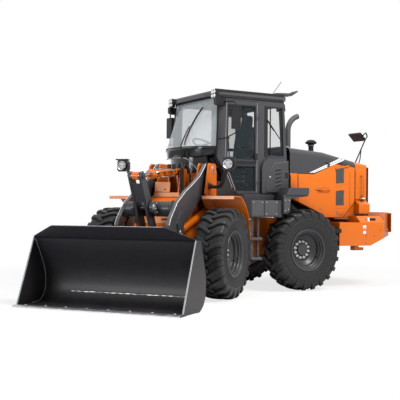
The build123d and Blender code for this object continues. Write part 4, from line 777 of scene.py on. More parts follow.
# Below the pads: a plinth, a sprung bellows, the pan, the back shell and the headrest's two rods.
base = [
    prism(rect(-0.74, -0.38, -0.17, 0.17), 2, 1.541, 1.70),
    net(np.stack([np.array([(-0.71, -0.15, z), (-0.41, -0.15, z), (-0.41, 0.15, z),
                            (-0.71, 0.15, z)]) * (1, w, 1)
                  for z, w in ((1.70, 1.0), (1.74, 0.82), (1.78, 1.0), (1.82, 0.82), (1.86, 1.0),
                               (1.90, 0.82), (1.94, 1.0))])),
    prism(((-0.77, -0.24), (-0.31, -0.24), (-0.29, -0.20), (-0.29, 0.20), (-0.31, 0.24),
           (-0.77, 0.24)), 2, 1.94, 1.972),
    prism(((-0.84, 2.0), (-0.77, 2.0), (-0.84, 2.58), (-0.875, 2.58)), 1, -0.19, 0.19),
    bar([(-0.845, 0.06, 2.55), (-0.835, 0.06, 2.66)], 0.008),
    bar([(-0.845, -0.06, 2.55), (-0.835, -0.06, 2.66)], 0.008),
]
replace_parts(piece("seat_base", base, black, "root", bevel=0.006), "seat")

# Controls, all of black moulding: the steering wheel on its leaning column, the column's foot, the
# dash, two armrests, and a side console with a lever.
wheel_middle = np.array((-0.040, 0.0, 2.275))
lean = np.array((-0.45, 0.0, 0.9)) / math.hypot(0.45, 0.9)
grip_radius, grip_rod = 0.222, 0.0135
spin = np.linspace(0, 2 * np.pi, 12, endpoint=False)
grip = [(grip_radius + grip_rod * math.cos(t), grip_rod * math.sin(t)) for t in spin.tolist()]
controls = [
    turned(grip, wheel_middle, lean, 48, ring=True),
    turned([(0.004, -0.02), (0.048, -0.02), (0.055, 0.0), (0.044, 0.014), (0.004, 0.020)],
           wheel_middle, lean, 20),
    turned([(0.026, -0.24), (0.030, -0.10), (0.022, -0.015)], wheel_middle, lean, 14),
    # the column's foot and the dash
    prism(((-0.065, 1.790), (0.030, 2.010), (0.000, 2.150), (-0.060, 2.190), (-0.110, 2.180),
           (-0.200, 1.700), (-0.300, 1.541), (-0.229, 1.541)), 1, -0.105, 0.105),
    prism(((0.120, 2.050), (0.125, 2.170), (0.040, 2.215), (-0.010, 2.180), (0.020, 2.060)), 1,
          -0.52, 0.52),
]
# the wheel's three spokes
leftwards = np.array((0.0, 1.0, 0.0))
across_lean = np.cross(lean, leftwards)
for t in (0.35, math.pi - 0.35, -math.pi / 2):
    way = math.cos(t) * leftwards - math.sin(t) * across_lean
    controls.append(carried(strip(0.014, 0.004),
                            [wheel_middle + 0.04 * way, wheel_middle + 0.220 * way], lean))
for hand in (1, -1):
    controls.append(prism(((-0.82, 2.232), (-0.50, 2.232), (-0.47, 2.246), (-0.47, 2.262),
                           (-0.50, 2.278), (-0.82, 2.278)), 1, hand * 0.262, hand * 0.330))
    controls.append(bar([(-0.80, hand * 0.290, 2.235), (-0.84, hand * 0.250, 2.02)], 0.014))
lever_top = (-0.44, -0.30, 2.36)
controls += [
    prism(((-0.90, 1.541), (-0.42, 1.541), (-0.36, 1.98), (-0.44, 2.06), (-0.90, 2.10)), 1, -0.60,
          -0.36),
    bar([(-0.46, -0.30, 2.27), lever_top], 0.010),
    turned([(0.004, 0.0), (0.018, 0.004), (0.022, 0.03), (0.016, 0.05), (0.004, 0.054)], lever_top,
           (0.2, 0, 1), 14),
]
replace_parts(piece("controls", controls, black, "root", bevel=0.004),
            "steering_console")

# ---- hood ----------------------------------------------------------------------------------------
# Pressed steel over the engine: a dark cowl with a rounded shoulder and a white double stripe,
# lift-up side doors with raised skins, meshed vents and pull handles, and the upright tail.
hood_half = 0.680
shoulder = 0.090
skin_face = 0.699
white = painted("white_stripe", (0.86, 0.87, 0.88), 0.35, 0.2, dust=0.0)
mesh_black = plain("vent_black", (0.016, 0.016, 0.018), 0.55)
wire_grey = plain("vent_wire", (0.16, 0.16, 0.165), 0.45)


def flank(x, z, out, hand):
    """A point on the hood's side, lifted by out: upright, then round the shoulder's quarter
    circle, whose top falls towards the rear."""
    x, z = np.broadcast_arrays(np.asarray(x, float), np.asarray(z, float))
    bend = np.interp(x, (-2.85, -2.59, -1.90, -1.20), (2.040, 2.078, 2.215, 2.265)) - shoulder
    rise = np.clip((z - bend) / shoulder, 0, 1)
    upright = np.sqrt(np.maximum(0, 1 - rise ** 2))
    depth = shoulder * (1 - upright)
    lift = np.stack((np.zeros_like(rise), upright, rise), -1)
    skin = np.stack((x, hood_half - depth, z), -1) + out * lift
    return skin * (1, hand, 1)


def band(low_line, high_line, shares, hand):
    """A thin strip between two lines on the hood's side, at shares of the way from one line to
    the other: its front stands 1.4 mm proud and its back lies just under the skin."""
    along = np.linspace(0, 1, 30)[:, None]
    low_line, high_line = np.asarray(low_line, float), np.asarray(high_line, float)
    low = low_line[0] + along * (low_line[1] - low_line[0])
    high = high_line[0] + along * (high_line[1] - high_line[0])
    rows = np.linspace(*shares, 4)[None, :, None]
    flat = low[:, None] + rows * (high - low)[:, None]
    front = flank(flat[..., 0], flat[..., 1], 0.0014, hand)
    back = flank(flat[..., 0], flat[..., 1], -0.0005, hand)[:, ::-1]
    return net(np.concatenate((front, back), axis=1))


def raised(foot, top, axis, levels):
    """A plate with sloping edges: a foot outline, carried up straight, then drawn in to a top
    outline with as many corners."""
    rows = [np.insert(np.asarray(flat, float), axis, level, axis=1)
            for flat, level in ((foot, levels[0]), (foot, levels[1]), (top, levels[2]))]
    return net(np.stack(rows))


stripe_low = ((-1.680, 1.868), (-2.360, 2.114))
stripe_high = ((-1.585, 1.868), (-2.235, 2.131))
stripes = [band(stripe_low, stripe_high, share, hand) for hand in (1, -1)
           for share in ((0.0, 0.40), (0.56, 1.0))]
piece("cowl_stripes", stripes, white, "root", crease=60.0)

# Raised skins, pressed in one with the doors, the fixed panels ahead of them and the tail. Their
# edges slope back to the sheet, and their upper part is drawn in.
door_foot = ((-1.353, 1.8435), (-1.681, 1.8435), (-2.120, 2.0262), (-2.5375, 1.9815),
             (-2.5375, 1.3925), (-2.279, 1.1425), (-1.900, 1.1425), (-1.850, 1.1905),
             (-1.353, 1.3895))
door_top = ((-1.357, 1.797), (-1.742, 1.803), (-1.925, 1.877), (-2.516, 1.893),
            (-2.516, 1.400), (-2.268, 1.152), (-1.903, 1.152), (-1.853, 1.201),
            (-1.357, 1.400))
fixed_foot = ((-1.201, 1.8495), (-1.3455, 1.8495), (-1.3455, 1.3925), (-1.201, 1.4505))
fixed_top = ((-1.206, 1.797), (-1.342, 1.797), (-1.342, 1.403), (-1.206, 1.459))
tail_foot = ((-2.5455, 2.035), (-2.770, 2.010), (-2.770, 1.445), (-2.5455, 1.445))
tail_top = ((-2.560, 1.893), (-2.762, 1.888), (-2.762, 1.452), (-2.560, 1.452))
for name, body, foot, top, hands in (
    ("door_skin_left", "hood_door_left", door_foot, door_top, (1,)),
    ("door_skin_right", "hood_door_right", door_foot, door_top, (-1,)),
    ("side_skins", "root", fixed_foot, fixed_top, (1, -1)),
    ("tail_skins", "root", tail_foot, tail_top, (1, -1)),
):
    skins = [raised(foot, top, 1, (hand * 0.6785, hand * 0.6815, hand * skin_face))
             for hand in hands]
    piece(name, skins, orange, body, crease=25.0)

# What each door carries: two black vents with wire mesh under folded steel lips, a round pull
# handle, a small hatch with a finger hole dark with painted shade, and studs. All are welded or
# screwed to the skin.
vent_front, vent_rear, wire_radius = -2.124, -2.291, 0.0022
grip_front, grip_rear = -1.755, -1.985
for side_name, hand in (("left", 1), ("right", -1)):
    body = "hood_door_" + side_name
    face = hand * skin_face
    vents, wires, lips = [], [], []
    for foot_line, head_line in (((1.708, 1.722), (1.944, 1.982)), ((1.345, 1.352), (1.582, 1.602))):
        outline = ((vent_front, foot_line[0]), (vent_rear, foot_line[1]),
                   (vent_rear, head_line[1]), (vent_front, head_line[0]))
        vents.append(prism(outline, 1, face - hand * 0.012, face + hand * 0.0015))
        for x in np.linspace(-2.136, -2.279, 9).tolist():
            share = (x - vent_front) / (vent_rear - vent_front)
            ends = [(x, face + hand * 0.003, line[0] + share * (line[1] - line[0]))
                    for line in (foot_line, head_line)]
            wires.append(bar(ends, wire_radius, 5))
        for share in np.linspace(0.05, 0.95, 13).tolist():
            front_z, rear_z = (low + share * (high - low) for low, high in zip(foot_line, head_line))
            wires.append(bar([(-2.126, face + hand * 0.004, front_z),
                              (-2.289, face + hand * 0.004, rear_z)], wire_radius, 5))
    lip_section = [(-0.002, -0.014), (0.012, -0.012), (0.014, -0.004), (0.002, 0.014),
                   (-0.002, 0.014)]
    for front_z, rear_z in ((1.664, 1.722), (1.953, 2.005), (1.306, 1.318)):
        lips.append(carried([(a * -hand, b) for a, b in lip_section],
                            [(-2.112, face, front_z), (-2.400, face, rear_z)], (0, 0, 1)))
    lips.append(carried([(-0.009, -0.003), (0.009, -0.003), (0.004, 0.009), (-0.004, 0.009)],
                        [(-2.423, face, 1.300), (-2.423, face, 1.890)], (0, hand, 0)))
    # pull handle on two round feet
    lips.append(bar(bent([(x, face + hand * out, 1.598) for x, out in (
        (grip_front, -0.004), (grip_front, 0.032), (grip_rear, 0.032), (grip_rear, -0.004))],
                         0.020), 0.009))
    for x in (grip_front, grip_rear):
        lips.append(turned([(0.002, 0.0), (0.026, 0.0), (0.024, 0.006), (0.002, 0.007)],
                           (x, face, 1.600), (0, hand, 0), 16))
    piece("vents_" + side_name, vents, mesh_black, body)
    piece("vent_wires_" + side_name, wires, wire_grey, body)
    piece("door_lips_" + side_name, lips, orange, body, bevel=0.002)
    hatch = [raised(rect(-2.168, -2.262, 1.190, 1.270), rect(-2.174, -2.256, 1.196, 1.264), 1,
                    (face - hand * 0.001, face + hand * 0.002, face + hand * 0.007))]
    piece("door_hatch_" + side_name, hatch, orange, body)
    studs = [turned([(0.002, 0.0), (0.010, 0.0), (0.010, 0.003), (0.006, 0.007), (0.002, 0.0075)],
                    (x, face, z), (0, hand, 0), 12)
             for x, z in ((-1.800, 1.29), (-1.825, 1.22), (-1.600, 1.575), (-1.870, 1.635),
                          (-2.205, 1.235), (-2.225, 1.215))]
    # painted shade: the finger hole is a dark grey plate sunk in the skin
    hole = [prism(rect(-2.128, -2.150, 1.195, 1.255), 1, face - hand * 0.004, face + hand * 0.0012)]
    piece("door_studs_" + side_name, studs + hole, wire_grey, body)

# The doors' hinge straps reach up over the dark cowl and are sprayed with it, so the doors' enamel
# turns from orange to dark above their upper edge.
strap_paint = painted("door_enamel", enamel_orange, 0.33, 0.60)
strap_tree = strap_paint.node_tree
strap_skin = strap_tree.nodes["Principled BSDF"]
strap_below = strap_skin.inputs["Base Color"].links[0].from_socket
edge_slope = 0.1367  # the doors' upper edge falls by this much a metre towards the rear
strap_place = node(strap_tree, "TexCoord")
strap_height = node(strap_tree, "VectorMath", "DOT_PRODUCT")
strap_height.inputs[1].default_value = (edge_slope, 0.0, 1.0)
strap_above = node(strap_tree, "Math", "GREATER_THAN")
strap_above.inputs[1].default_value = 1.970 + edge_slope * (pivot[0] - 1.98)
strap_mix = mixed(strap_tree, second=enamel_dark)
wire(strap_tree, (
    (strap_place.outputs["Object"], strap_height.inputs[0]),
    (strap_height.outputs["Value"], strap_above.inputs[0]),
    (strap_above.outputs[0], strap_mix.inputs[0]),
    (strap_below, strap_mix.inputs[6]),
    (strap_mix.outputs[2], strap_skin.inputs["Base Color"]),
))
dress(strap_paint, "hood_door_left", "hood_door_right")

# Grips bent from round bar and welded to the tail, black rubber pushed over its rear edge, and a
# pressed grey cover screwed to the cowl ahead of the stack.
edge_x = -2.914
grips, edging = [], []
for hand in (1, -1):
    grips.append(bar(bent([(-2.655, hand * 0.690, 1.850), (-2.668, hand * 0.765, 1.835),
                           (-2.668, hand * 0.765, 1.510), (-2.655, hand * 0.690, 1.490)], 0.030),
                     0.0115))
    edging.append(carried([(-0.010, -0.020), (0.014, -0.020), (0.014, 0.020), (-0.010, 0.020)],
                          [(edge_x, hand * 0.560, 2.000), (edge_x, hand * 0.560, 1.180)],
                          (0, 1, 0)))
edging.append(carried(strip(0.010, 0.012), [(edge_x, 0.575, 1.985), (edge_x, -0.575, 1.985)],
                      (0, 0, 1)))
piece("tail_grips", grips, orange, "root")
piece("tail_edging", edging, black, "root", bevel=0.003)
air_cover = raised(rect(-1.212, -1.330, -0.52, 0.52), rect(-1.218, -1.300, -0.50, 0.50), 2,
                   (2.22, 2.262, 2.296))
grey_cover = painted("grey_enamel", (0.24, 0.245, 0.25), 0.4, 0.2, dust=0.0)
piece("air_cover", [air_cover], grey_cover, "root", bevel=0.008)

# Exhaust stack of burnt steel and the intake's black pre-cleaner, both with pressed steel collars
# where they leave the hood, and one more below the pre-cleaner's bowl.
dull = plain("exhaust_grey", (0.085, 0.083, 0.085), 0.55, tone=0.25, scale=12.0)
dress(dull, "exhaust_pipe")
dress(black, "precleaner")
for name, finish, place_x, profiles in (
    ("precleaner_collars", light_grey_and_highlight, -2.140, (
        [(0.0452, 2.366), (0.053, 2.366), (0.055, 2.372), (0.055, 2.380), (0.053, 2.386),
         (0.0452, 2.386)],
        [(0.0452, 2.196), (0.060, 2.176), (0.062, 2.196), (0.052, 2.212), (0.0452, 2.212)])),
    ("stack_collar", dull, -1.650, (
        [(0.0465, 2.222), (0.066, 2.214), (0.068, 2.222), (0.058, 2.236), (0.0465, 2.238)],)),
):
    collars = [turned(profile, (place_x, 0, 0), (0, 0, 1), 28, ring=True) for profile in profiles]
    piece(name, collars, finish, "root", crease=40.0)

# ---- side covers, steps and weight ---------------------------------------------------------------
# Sheet covers ahead of the hood with slots and a knob; boxes, steps and guards of folded plate
# beside the cab; the cast counterweight with its rear plate and the tail lamps over it.
# white for the real labels, also used for painted highlights on edges
white_label_and_highlight = painted("blank_label", (0.80, 0.80, 0.80), 0.45, 0.1, dust=0.05)
amber = painted("blank_label_orange", (0.78, 0.20, 0.02), 0.45, 0.1, dust=0.05)
# the lighter grey of the slots' lips and the catch's frame is a painted highlight
lip_painted_highlight = plain("grey_lip_painted_highlight", (0.15, 0.15, 0.16), 0.4, tone=0.2)


def bolt(x, y, z, hand, size):
    """A washer and a low hexagon head that face out to one side."""
    return turned([(0.002, 0.0), (size * 1.35, 0.0), (size * 1.35, 0.003), (size, 0.004),
                   (size, 0.011), (size * 0.8, 0.013), (0.002, 0.0135)], (x, y, z), (0, hand, 0), 6)


# Cover: a pressed steel tray with a bevelled edge, screwed on behind the door. It has five slots
# and a framed catch, black inside for painted shade, with lips and frame in painted highlight, and a
# round knob.
cover_foot = ((-0.846, 2.000), (-1.117, 2.037), (-1.121, 1.518), (-0.690, 1.532), (-0.668, 1.612),
              (-0.700, 1.760), (-0.762, 1.890))
cover_top = ((-0.856, 1.986), (-1.105, 2.020), (-1.109, 1.530), (-0.700, 1.544), (-0.681, 1.614),
             (-0.712, 1.756), (-0.773, 1.882))
slot_section = [(-0.0012, -0.016), (0.0012, -0.016), (0.0012, 0.012), (-0.0012, 0.012)]
slot_lip = [(-0.002, 0.012), (0.005, 0.013), (0.005, 0.017), (-0.002, 0.017)]
catch = rect(-1.030, -1.104, 1.750, 1.858)
cover_face = 0.7533
panels, dark_slots, lips, knobs = [], [], [], []
for hand in (1, -1):
    face = hand * cover_face
    top_y = face + hand * 0.014
    panels.append(raised(cover_foot, cover_top, 1, (face - hand * 0.001, face + hand * 0.002, top_y)))
    for share in (0.0, 0.25, 0.5, 0.75, 1.0):
        centre_line = [(-0.858, top_y, 1.878 - share * 0.247), (-0.966, top_y, 1.900 - share * 0.235)]
        dark_slots.append(carried(slot_section, centre_line, (0, 0, 1)))
        lips.append(carried(slot_lip, centre_line, (0, 0, 1)))
    knobs.append(turned([(0.002, 0.0), (0.018, 0.0), (0.018, 0.006), (0.012, 0.012),
                         (0.002, 0.014)], (-0.757, top_y, 1.772), (0, hand, 0), 20))
    dark_slots.append(prism(catch, 1, top_y - hand * 0.004, top_y + hand * 0.0012))
    lips.append(framed(catch, 0.008, 1, top_y, top_y + hand * 0.003))
piece("cover_panels", panels, dark, "root", crease=25.0)
piece("cover_slots", dark_slots, seal_paint, "root")
piece("cover_lips", lips, lip_painted_highlight, "root")
piece("cover_knobs", knobs, light_grey_and_highlight, "root", crease=30.0)

# Boxes beside the cab and the guard behind them: fronts folded from grey plate, each bolted on
# near its corners.
box_face, guard_face = 0.9505, 0.998
fronts, heads = [], []
for hand in (1, -1):
    y = hand * box_face
    for front, rear, low, high in ((-0.290, -0.515, 1.165, 1.400), (-0.530, -0.775, 1.165, 1.400)):
        fronts.append(raised(rect(front, rear, low, high),
                             rect(front - 0.008, rear + 0.008, low + 0.008, high - 0.008), 1,
                             (y - hand * 0.002, y + hand * 0.003, y + hand * 0.010)))
    for x, z in ((-0.560, 1.375), (-0.745, 1.375), (-0.560, 1.195), (-0.745, 1.195),
                 (-0.320, 1.375), (-0.485, 1.375)):
        heads.append(bolt(x, y + hand * 0.010, z, hand, 0.009))
    for x, z in ((-0.885, 1.41), (-0.962, 1.41), (-0.885, 1.25), (-0.950, 1.27)):
        heads.append(bolt(x, hand * guard_face, z, hand, 0.009))
    fronts.append(raised(((-0.866, 1.215), (-0.972, 1.235), (-0.985, 1.400), (-0.985, 1.440),
                          (-0.866, 1.440)),
                         ((-0.872, 1.224), (-0.966, 1.242), (-0.978, 1.400), (-0.978, 1.433),
                          (-0.872, 1.433)), 1,
                         (hand * 0.9895, hand * 0.992, hand * guard_face)))
piece("box_fronts", fronts, grey_panel, "root", crease=25.0)
piece("box_bolts", heads, light_grey_and_highlight, "root", crease=30.0)

# Ladder treads with raised grips of light steel, and flaps cut from rubber sheet: one hung behind
# the ladder, one along the foot of the hood.
treads, flaps = [], []
for hand in (1, -1):
    inner, outer = sorted((hand * 0.72, hand * 0.94))
    for z in (0.530, 0.830):
        for x in np.linspace(-0.320, -0.480, 6).tolist():
            treads.append(block((x - 0.006, inner, z - 0.001), (x + 0.006, outer, z + 0.008)))
    flaps.append(carried(strip(0.006, 0.085),
                         [(-0.885, hand * 0.865, 1.19), (-0.905, hand * 0.865, 1.05),
                          (-0.900, hand * 0.865, 0.90)], (0, 1, 0)))
    flaps.append(raised(((-1.200, 1.130), (-1.200, 1.395), (-1.560, 1.130), (-1.560, 1.118)),
                        ((-1.204, 1.134), (-1.204, 1.380), (-1.550, 1.130), (-1.550, 1.122)), 1,
                        (hand * 0.640, hand * 0.668, hand * 0.672)))
piece("ladder_grips", treads, light_grey_and_highlight, "root")
piece("mud_flaps", flaps, seal_paint, "root", bevel=0.003)

# Counterweight: rubber step pads, bolt heads, blank label plates, black side tubes and the raised
# rear plate, and above it white strips on the tail lamps' upper edges, painted highlights.
pads, plugs, marks, marks_orange, tubes, ledges = [], [], [], [], [], []
for hand in (1, -1):
    for group, outline, inner, outer in (
        (pads, rect(-2.630, -2.742, 1.108, 1.140), 0.90, 0.975),
        (marks, rect(-2.445, -2.515, 0.962, 1.020), 0.999, 1.0015),
        (marks, rect(-2.450, -2.512, 0.884, 0.930), 0.999, 1.0015),
        (marks_orange, rect(-2.450, -2.510, 0.968, 0.986), 1.001, 1.0020),
        (marks, rect(-2.560, -2.600, 1.086, 1.150), 0.94, 0.985),
        (tubes, rect(-1.860, -2.120, 0.900, 0.965), 0.905, 0.955),
        (tubes, rect(-1.960, -2.110, 0.520, 0.545), 0.40, 0.60),
        (ledges, rect(-2.640, -2.700, 1.4555, 1.478), 0.700, 0.760),
    ):
        group.append(prism(outline, 1, hand * inner, hand * outer))
    for x, z in ((-2.52, 0.86), (-2.70, 0.86), (-2.52, 0.74), (-2.83, 0.95), (-2.97, 0.95)):
        plugs.append(bolt(x, hand * 1.0, z, hand, 0.014))
back = raised(rect(-0.72, 0.72, 0.90, 1.225), rect(-0.70, 0.70, 0.92, 1.205), 0,
              (-3.318, -3.324, -3.332))
piece("weight_pads", pads, seal_paint, "root", bevel=0.003)
piece("weight_back_plate", [back], orange, "root")
piece("lamp_ledges", ledges, white_label_and_highlight, "root", bevel=0.003)
piece("weight_bolts", plugs, orange, "root", crease=30.0)
piece("weight_labels", marks, white_label_and_highlight, "root")
piece("weight_labels_orange", marks_orange, amber, "root")
piece("weight_tubes", tubes, black, "root")

# Tail lamps: a red, an amber and a clear moulded lens, one above the other, clipped on each
# housing's rear face.
red_lens = painted("red_lens", (0.45, 0.012, 0.010), 0.15, 0.8, dust=0.0)
amber_lens = painted("amber_lens", (0.80, 0.22, 0.010), 0.15, 0.8, dust=0.0)
for name, z, finish in (("red", 1.245, red_lens), ("amber", 1.300, amber_lens),
                        ("white", 1.355, lens)):
    lenses = [raised(rect(hand * 0.705, hand * 0.785, z - 0.022, z + 0.022),
                     rect(hand * 0.712, hand * 0.778, z - 0.016, z + 0.016), 0,
                     (-2.764, -2.768, -2.776)) for hand in (1, -1)]
    piece("tail_lenses_" + name, lenses, finish, "root")

# ---- loader and front frame ----------------------------------------------------------------------
# Flame-cut arms, their front edge a painted highlight, turn on capped pins in the front frame; black
# hydraulic hoses with crimped ends run to the tilt and lift cylinders; two headlamps stand on
# brackets beside the arm hinges.


def cap_at(x, y, z, hand, radius):
    """A pin's round keeper plate with two bolts, facing out to one side."""
    high = 0.010
    made = [turned([(0.002, 0.0), (radius, 0.0), (radius, high * 0.7), (radius - 0.004, high),
                    (0.002, high)], (x, y, z), (0, hand, 0), 28)]
    for t in (0.6, 0.6 + math.pi):
        made.append(bolt(x + radius * 0.6 * math.cos(t), y + hand * high,
                         z + radius * 0.6 * math.sin(t), hand, radius * 0.14))
    return made


def hose(corners, radius, bend):
    """A hose along rounded corners with a crimped collar near each end."""
    path = bent(corners, bend, 8)
    made = [bar(path, radius, 10)]
    for tip, before in ((path[0], path[1]), (path[-1], path[-2])):
        way = (before - tip) / np.linalg.norm(before - tip)
        made.append(turned([(0.002, 0.0), (radius * 1.15, 0.0), (radius * 1.45, 0.008),
                            (radius * 1.45, 0.045), (radius * 1.1, 0.052), (0.002, 0.052)],
                           tip, way, 12))
    return made


frame_face, arm_face, crank_face = 0.490, 0.158, 0.110
arm_front = [(2.130, 1.040), (2.080, 1.130), (1.870, 1.350), (1.610, 1.500), (1.430, 1.580),
             (1.100, 1.740), (0.870, 1.930)]
edge_section = [(-0.0042, -0.002), (0.0042, -0.002), (0.0042, 0.0014), (-0.0042, 0.0014)]
lit_face_section = [(-0.0265, -0.002), (0.0265, -0.002), (0.0265, 0.0008), (-0.0265, 0.0008)]
frame_caps, arm_caps, crank_caps, edges_lit, faces_lit = [], [], [], [], []
for hand in (1, -1):
    frame_caps += cap_at(0.780, hand * frame_face, 1.850, hand, 0.060)
    frame_caps += cap_at(0.800, hand * frame_face, 1.250, hand, 0.048)
    for x, z in ((0.700, 1.60), (0.700, 1.45), (0.900, 1.60)):
        frame_caps.append(bolt(x, hand * frame_face, z, hand, 0.016))
    # the front face is a lighter grey for painted light, its outer edge a painted highlight
    edges_lit.append(carried(edge_section, [(x + 0.0004, hand * 0.4145, z + 0.0008)
                                            for x, z in arm_front], (0, 0, 1)))
    faces_lit.append(carried(lit_face_section, [(x + 0.0002, hand * 0.3895, z + 0.0004)
                                              for x, z in arm_front], (0, 0, 1)))
    arm_caps += cap_at(1.800, hand * 0.435, 0.930, hand, 0.040)
    arm_caps += cap_at(2.070, hand * arm_face, 1.280, hand, 0.050)
    for x, z in ((1.935, 1.325), (1.980, 1.215), (2.000, 1.335)):
        arm_caps.append(bolt(x, hand * arm_face, z, hand, 0.011))
    crank_caps += cap_at(2.290, hand * crank_face, 1.700, hand, 0.034)
    crank_caps += cap_at(1.750, hand * crank_face, 0.620, hand, 0.034)
piece("frame_pin_caps", frame_caps, steel, "front_frame", True, crease=30.0)
piece("arm_pin_caps", arm_caps, steel, "lift_arms", True, crease=30.0)
piece("crank_pin_caps", crank_caps, dark, "bell_crank", True, crease=30.0)
lit_face_grey = plain("painted_lit_face_grey", (0.105, 0.105, 0.112), 0.42, tone=0.25, scale=9.0)
piece("arm_faces", faces_lit, lit_face_grey, "lift_arms", True)

# Web: a sloping plate welded between the crank's two plates to keep them apart.
web = [prism(((2.306, 1.596), (2.186, 1.345), (2.164, 1.350), (2.284, 1.602)), 1, -0.061, 0.061)]
piece("crank_web", web, dark, "bell_crank", True, bevel=0.004)

# Plates of the tower: a cross plate behind it with two gussets, the box on its right with a
# stepped front, and the plate with a hand slot on the sloping nose. Those that face forward are a
# paler orange, a painted sheen of the light on them.
orange_painted_sheen = painted("pale_orange_painted_sheen", (0.80, 0.295, 0.110), 0.36, 0.70)
nose_foot = np.array((1.6300, 1.0000))
nose_way = np.array((-0.150, 0.265)) / 0.30451  # up the plate
nose_out = np.array((0.8703, 0.4926))  # square to it


def on_nose(start, end, thick):
    """An outline on the sloping nose plate between two distances up it, with a thickness."""
    return [tuple((nose_foot + nose_way * up + nose_out * out).tolist())
            for up, out in rect(start, end, -0.002, thick)]


tower_half = 0.304
gusset = ((0.675, 1.530), (0.720, 1.530), (0.675, 1.700))
tower = [prism(rect(0.655, 0.675, 1.530, 1.800), 1, -tower_half, tower_half),
         prism(((0.985, 1.660), (1.108, 1.660), (1.128, 1.475), (0.985, 1.500)), 1, -tower_half,
               -0.101),
         prism(gusset, 1, 0.180, 0.195),
         prism(gusset, 1, -0.195, -0.180)]
piece("tower_plates", tower, orange, "front_frame", True, bevel=0.003)
fronts = [prism(((1.1095, 1.660), (1.1175, 1.660), (1.1405, 1.512), (1.1325, 1.512)), 1,
                -0.300, -0.052),
          prism(((1.1340, 1.503), (1.1500, 1.503), (1.1600, 1.438), (1.1440, 1.438)), 1,
                -0.302, 0.108),
          prism(on_nose(0.060, 0.215, 0.005), 1, -0.285, 0.285)]
piece("tower_fronts", fronts, orange_painted_sheen, "front_frame", True, bevel=0.003)
# painted shade: the round hole and the hand slot are black plates standing for the dark inside them
holes = [turned([(0.002, 0.0), (0.013, 0.0), (0.013, 0.003), (0.002, 0.003)],
                (1.1330, -0.126, 1.545), (0.988, 0, 0.154), 16),
         prism(on_nose(0.115, 0.140, 0.0062), 1, 0.030, 0.170)]
piece("tower_holes", holes, seal_paint, "front_frame", True)

# Folded front flanges of the fenders, in the same paler orange of painted sheen as the tower.
flanges = [prism(rect(1.2405, 1.2450, 1.4520, 1.4060), 1, *sorted((hand * 0.512, hand * 1.0)))
           for hand in (1, -1)]
piece("fender_flanges", flanges, orange_painted_sheen, "front_frame", True, bevel=0.001)
# the arms' edges in painted highlight
piece("arm_edges", edges_lit, white_label_and_highlight, "lift_arms", True)

# Weld rings round the cross tube where it meets the arms.
rings = [turned([(0.1045, -0.02), (0.112, -0.02), (0.118, -0.006), (0.118, 0.006), (0.1045, 0.006)],
                (1.880, hand * 0.352, 1.260), (0, hand, 0), 40, ring=True) for hand in (1, -1)]
piece("tube_rings", rings, dark, "lift_arms", True, crease=40.0)

# Headlamps: a black moulded bowl and housing under a visor, with a bright rim and a lens in two
# halves, on a bent tube that is bolted to the frame.
lamp_side, lamp_height, bracket_x, bracket_z = 0.860, 1.910, 0.925, 1.600
lamp_body, lamp_rims, lamp_glass = [], [], []
bowl = [(0.004, -0.090), (0.060, -0.085), (0.074, -0.060), (0.078, -0.020), (0.078, 0.002),
        (0.072, 0.008), (0.064, 0.008), (0.060, -0.004), (0.004, -0.004)]
corners = ((-1, -0.7), (-0.7, -1), (0.7, -1), (1, -0.7), (1, 0.7), (0.7, 1), (-0.7, 1), (-1, 0.7))
for hand in (1, -1):
    y = hand * lamp_side
    at = (1.132, y, lamp_height)
    lamp_body.append(turned(bowl, at, (1, 0, 0), 40))
    rows = [[(x, y + w * half_y, lamp_height + h * half_z) for w, h in corners]
            for x, half_y, half_z in ((0.960, 0.055, 0.050), (1.000, 0.078, 0.075),
                                      (1.100, 0.092, 0.090), (1.106, 0.088, 0.086))]
    lamp_body.append(net(np.array(rows)))
    lamp_body.append(prism(((1.040, 1.990), (1.050, 2.004), (1.150, 2.010), (1.150, 1.994),
                            (1.104, 1.992)), 1, y - 0.094, y + 0.094))
    foot = (bracket_x, hand * (frame_face + 0.001), bracket_z)
    lamp_body.append(bar(bent([foot, (bracket_x, hand * 0.640, 1.580),
                               (0.990, hand * 0.730, 1.640), (1.030, hand * 0.800, 1.830)],
                              0.09), 0.026, 14))
    lamp_body.append(turned([(0.004, 0.0), (0.050, 0.0), (0.050, 0.012), (0.034, 0.020),
                             (0.034, 0.045), (0.004, 0.046)], foot, (0, hand, 0), 20))
    lamp_rims.append(turned([(0.060, -0.002), (0.068, -0.002), (0.069, 0.009), (0.064, 0.012),
                             (0.059, 0.007)], at, (1, 0, 0), 40, ring=True))
    for half in (1, -1):
        angle = np.linspace(0.12, math.pi - 0.12, 17) * half
        edge_line = 0.056 * np.stack((np.cos(angle), np.sin(angle)), -1)
        rows = [np.insert(edge_line * w + (y, lamp_height), 0, 1.1325 + h, axis=1)
                for w, h in ((1.0, -0.006), (1.0, 0.001), (0.86, 0.006), (0.55, 0.010),
                             (0.15, 0.012))]
        lamp_glass.append(net(np.stack(rows)))
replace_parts(piece("headlamp_bowls", lamp_body, black, "front_frame", True,
                  crease=40.0), "headlamps")
piece("headlamp_rims", lamp_rims, chrome, "front_frame", True, crease=40.0)
lamp_pane = plain("headlamp_pane", (0.50, 0.51, 0.53), 0.22, tone=0.30, scale=60.0)
piece("headlamp_lenses", lamp_glass, lamp_pane, "front_frame", True, crease=50.0)

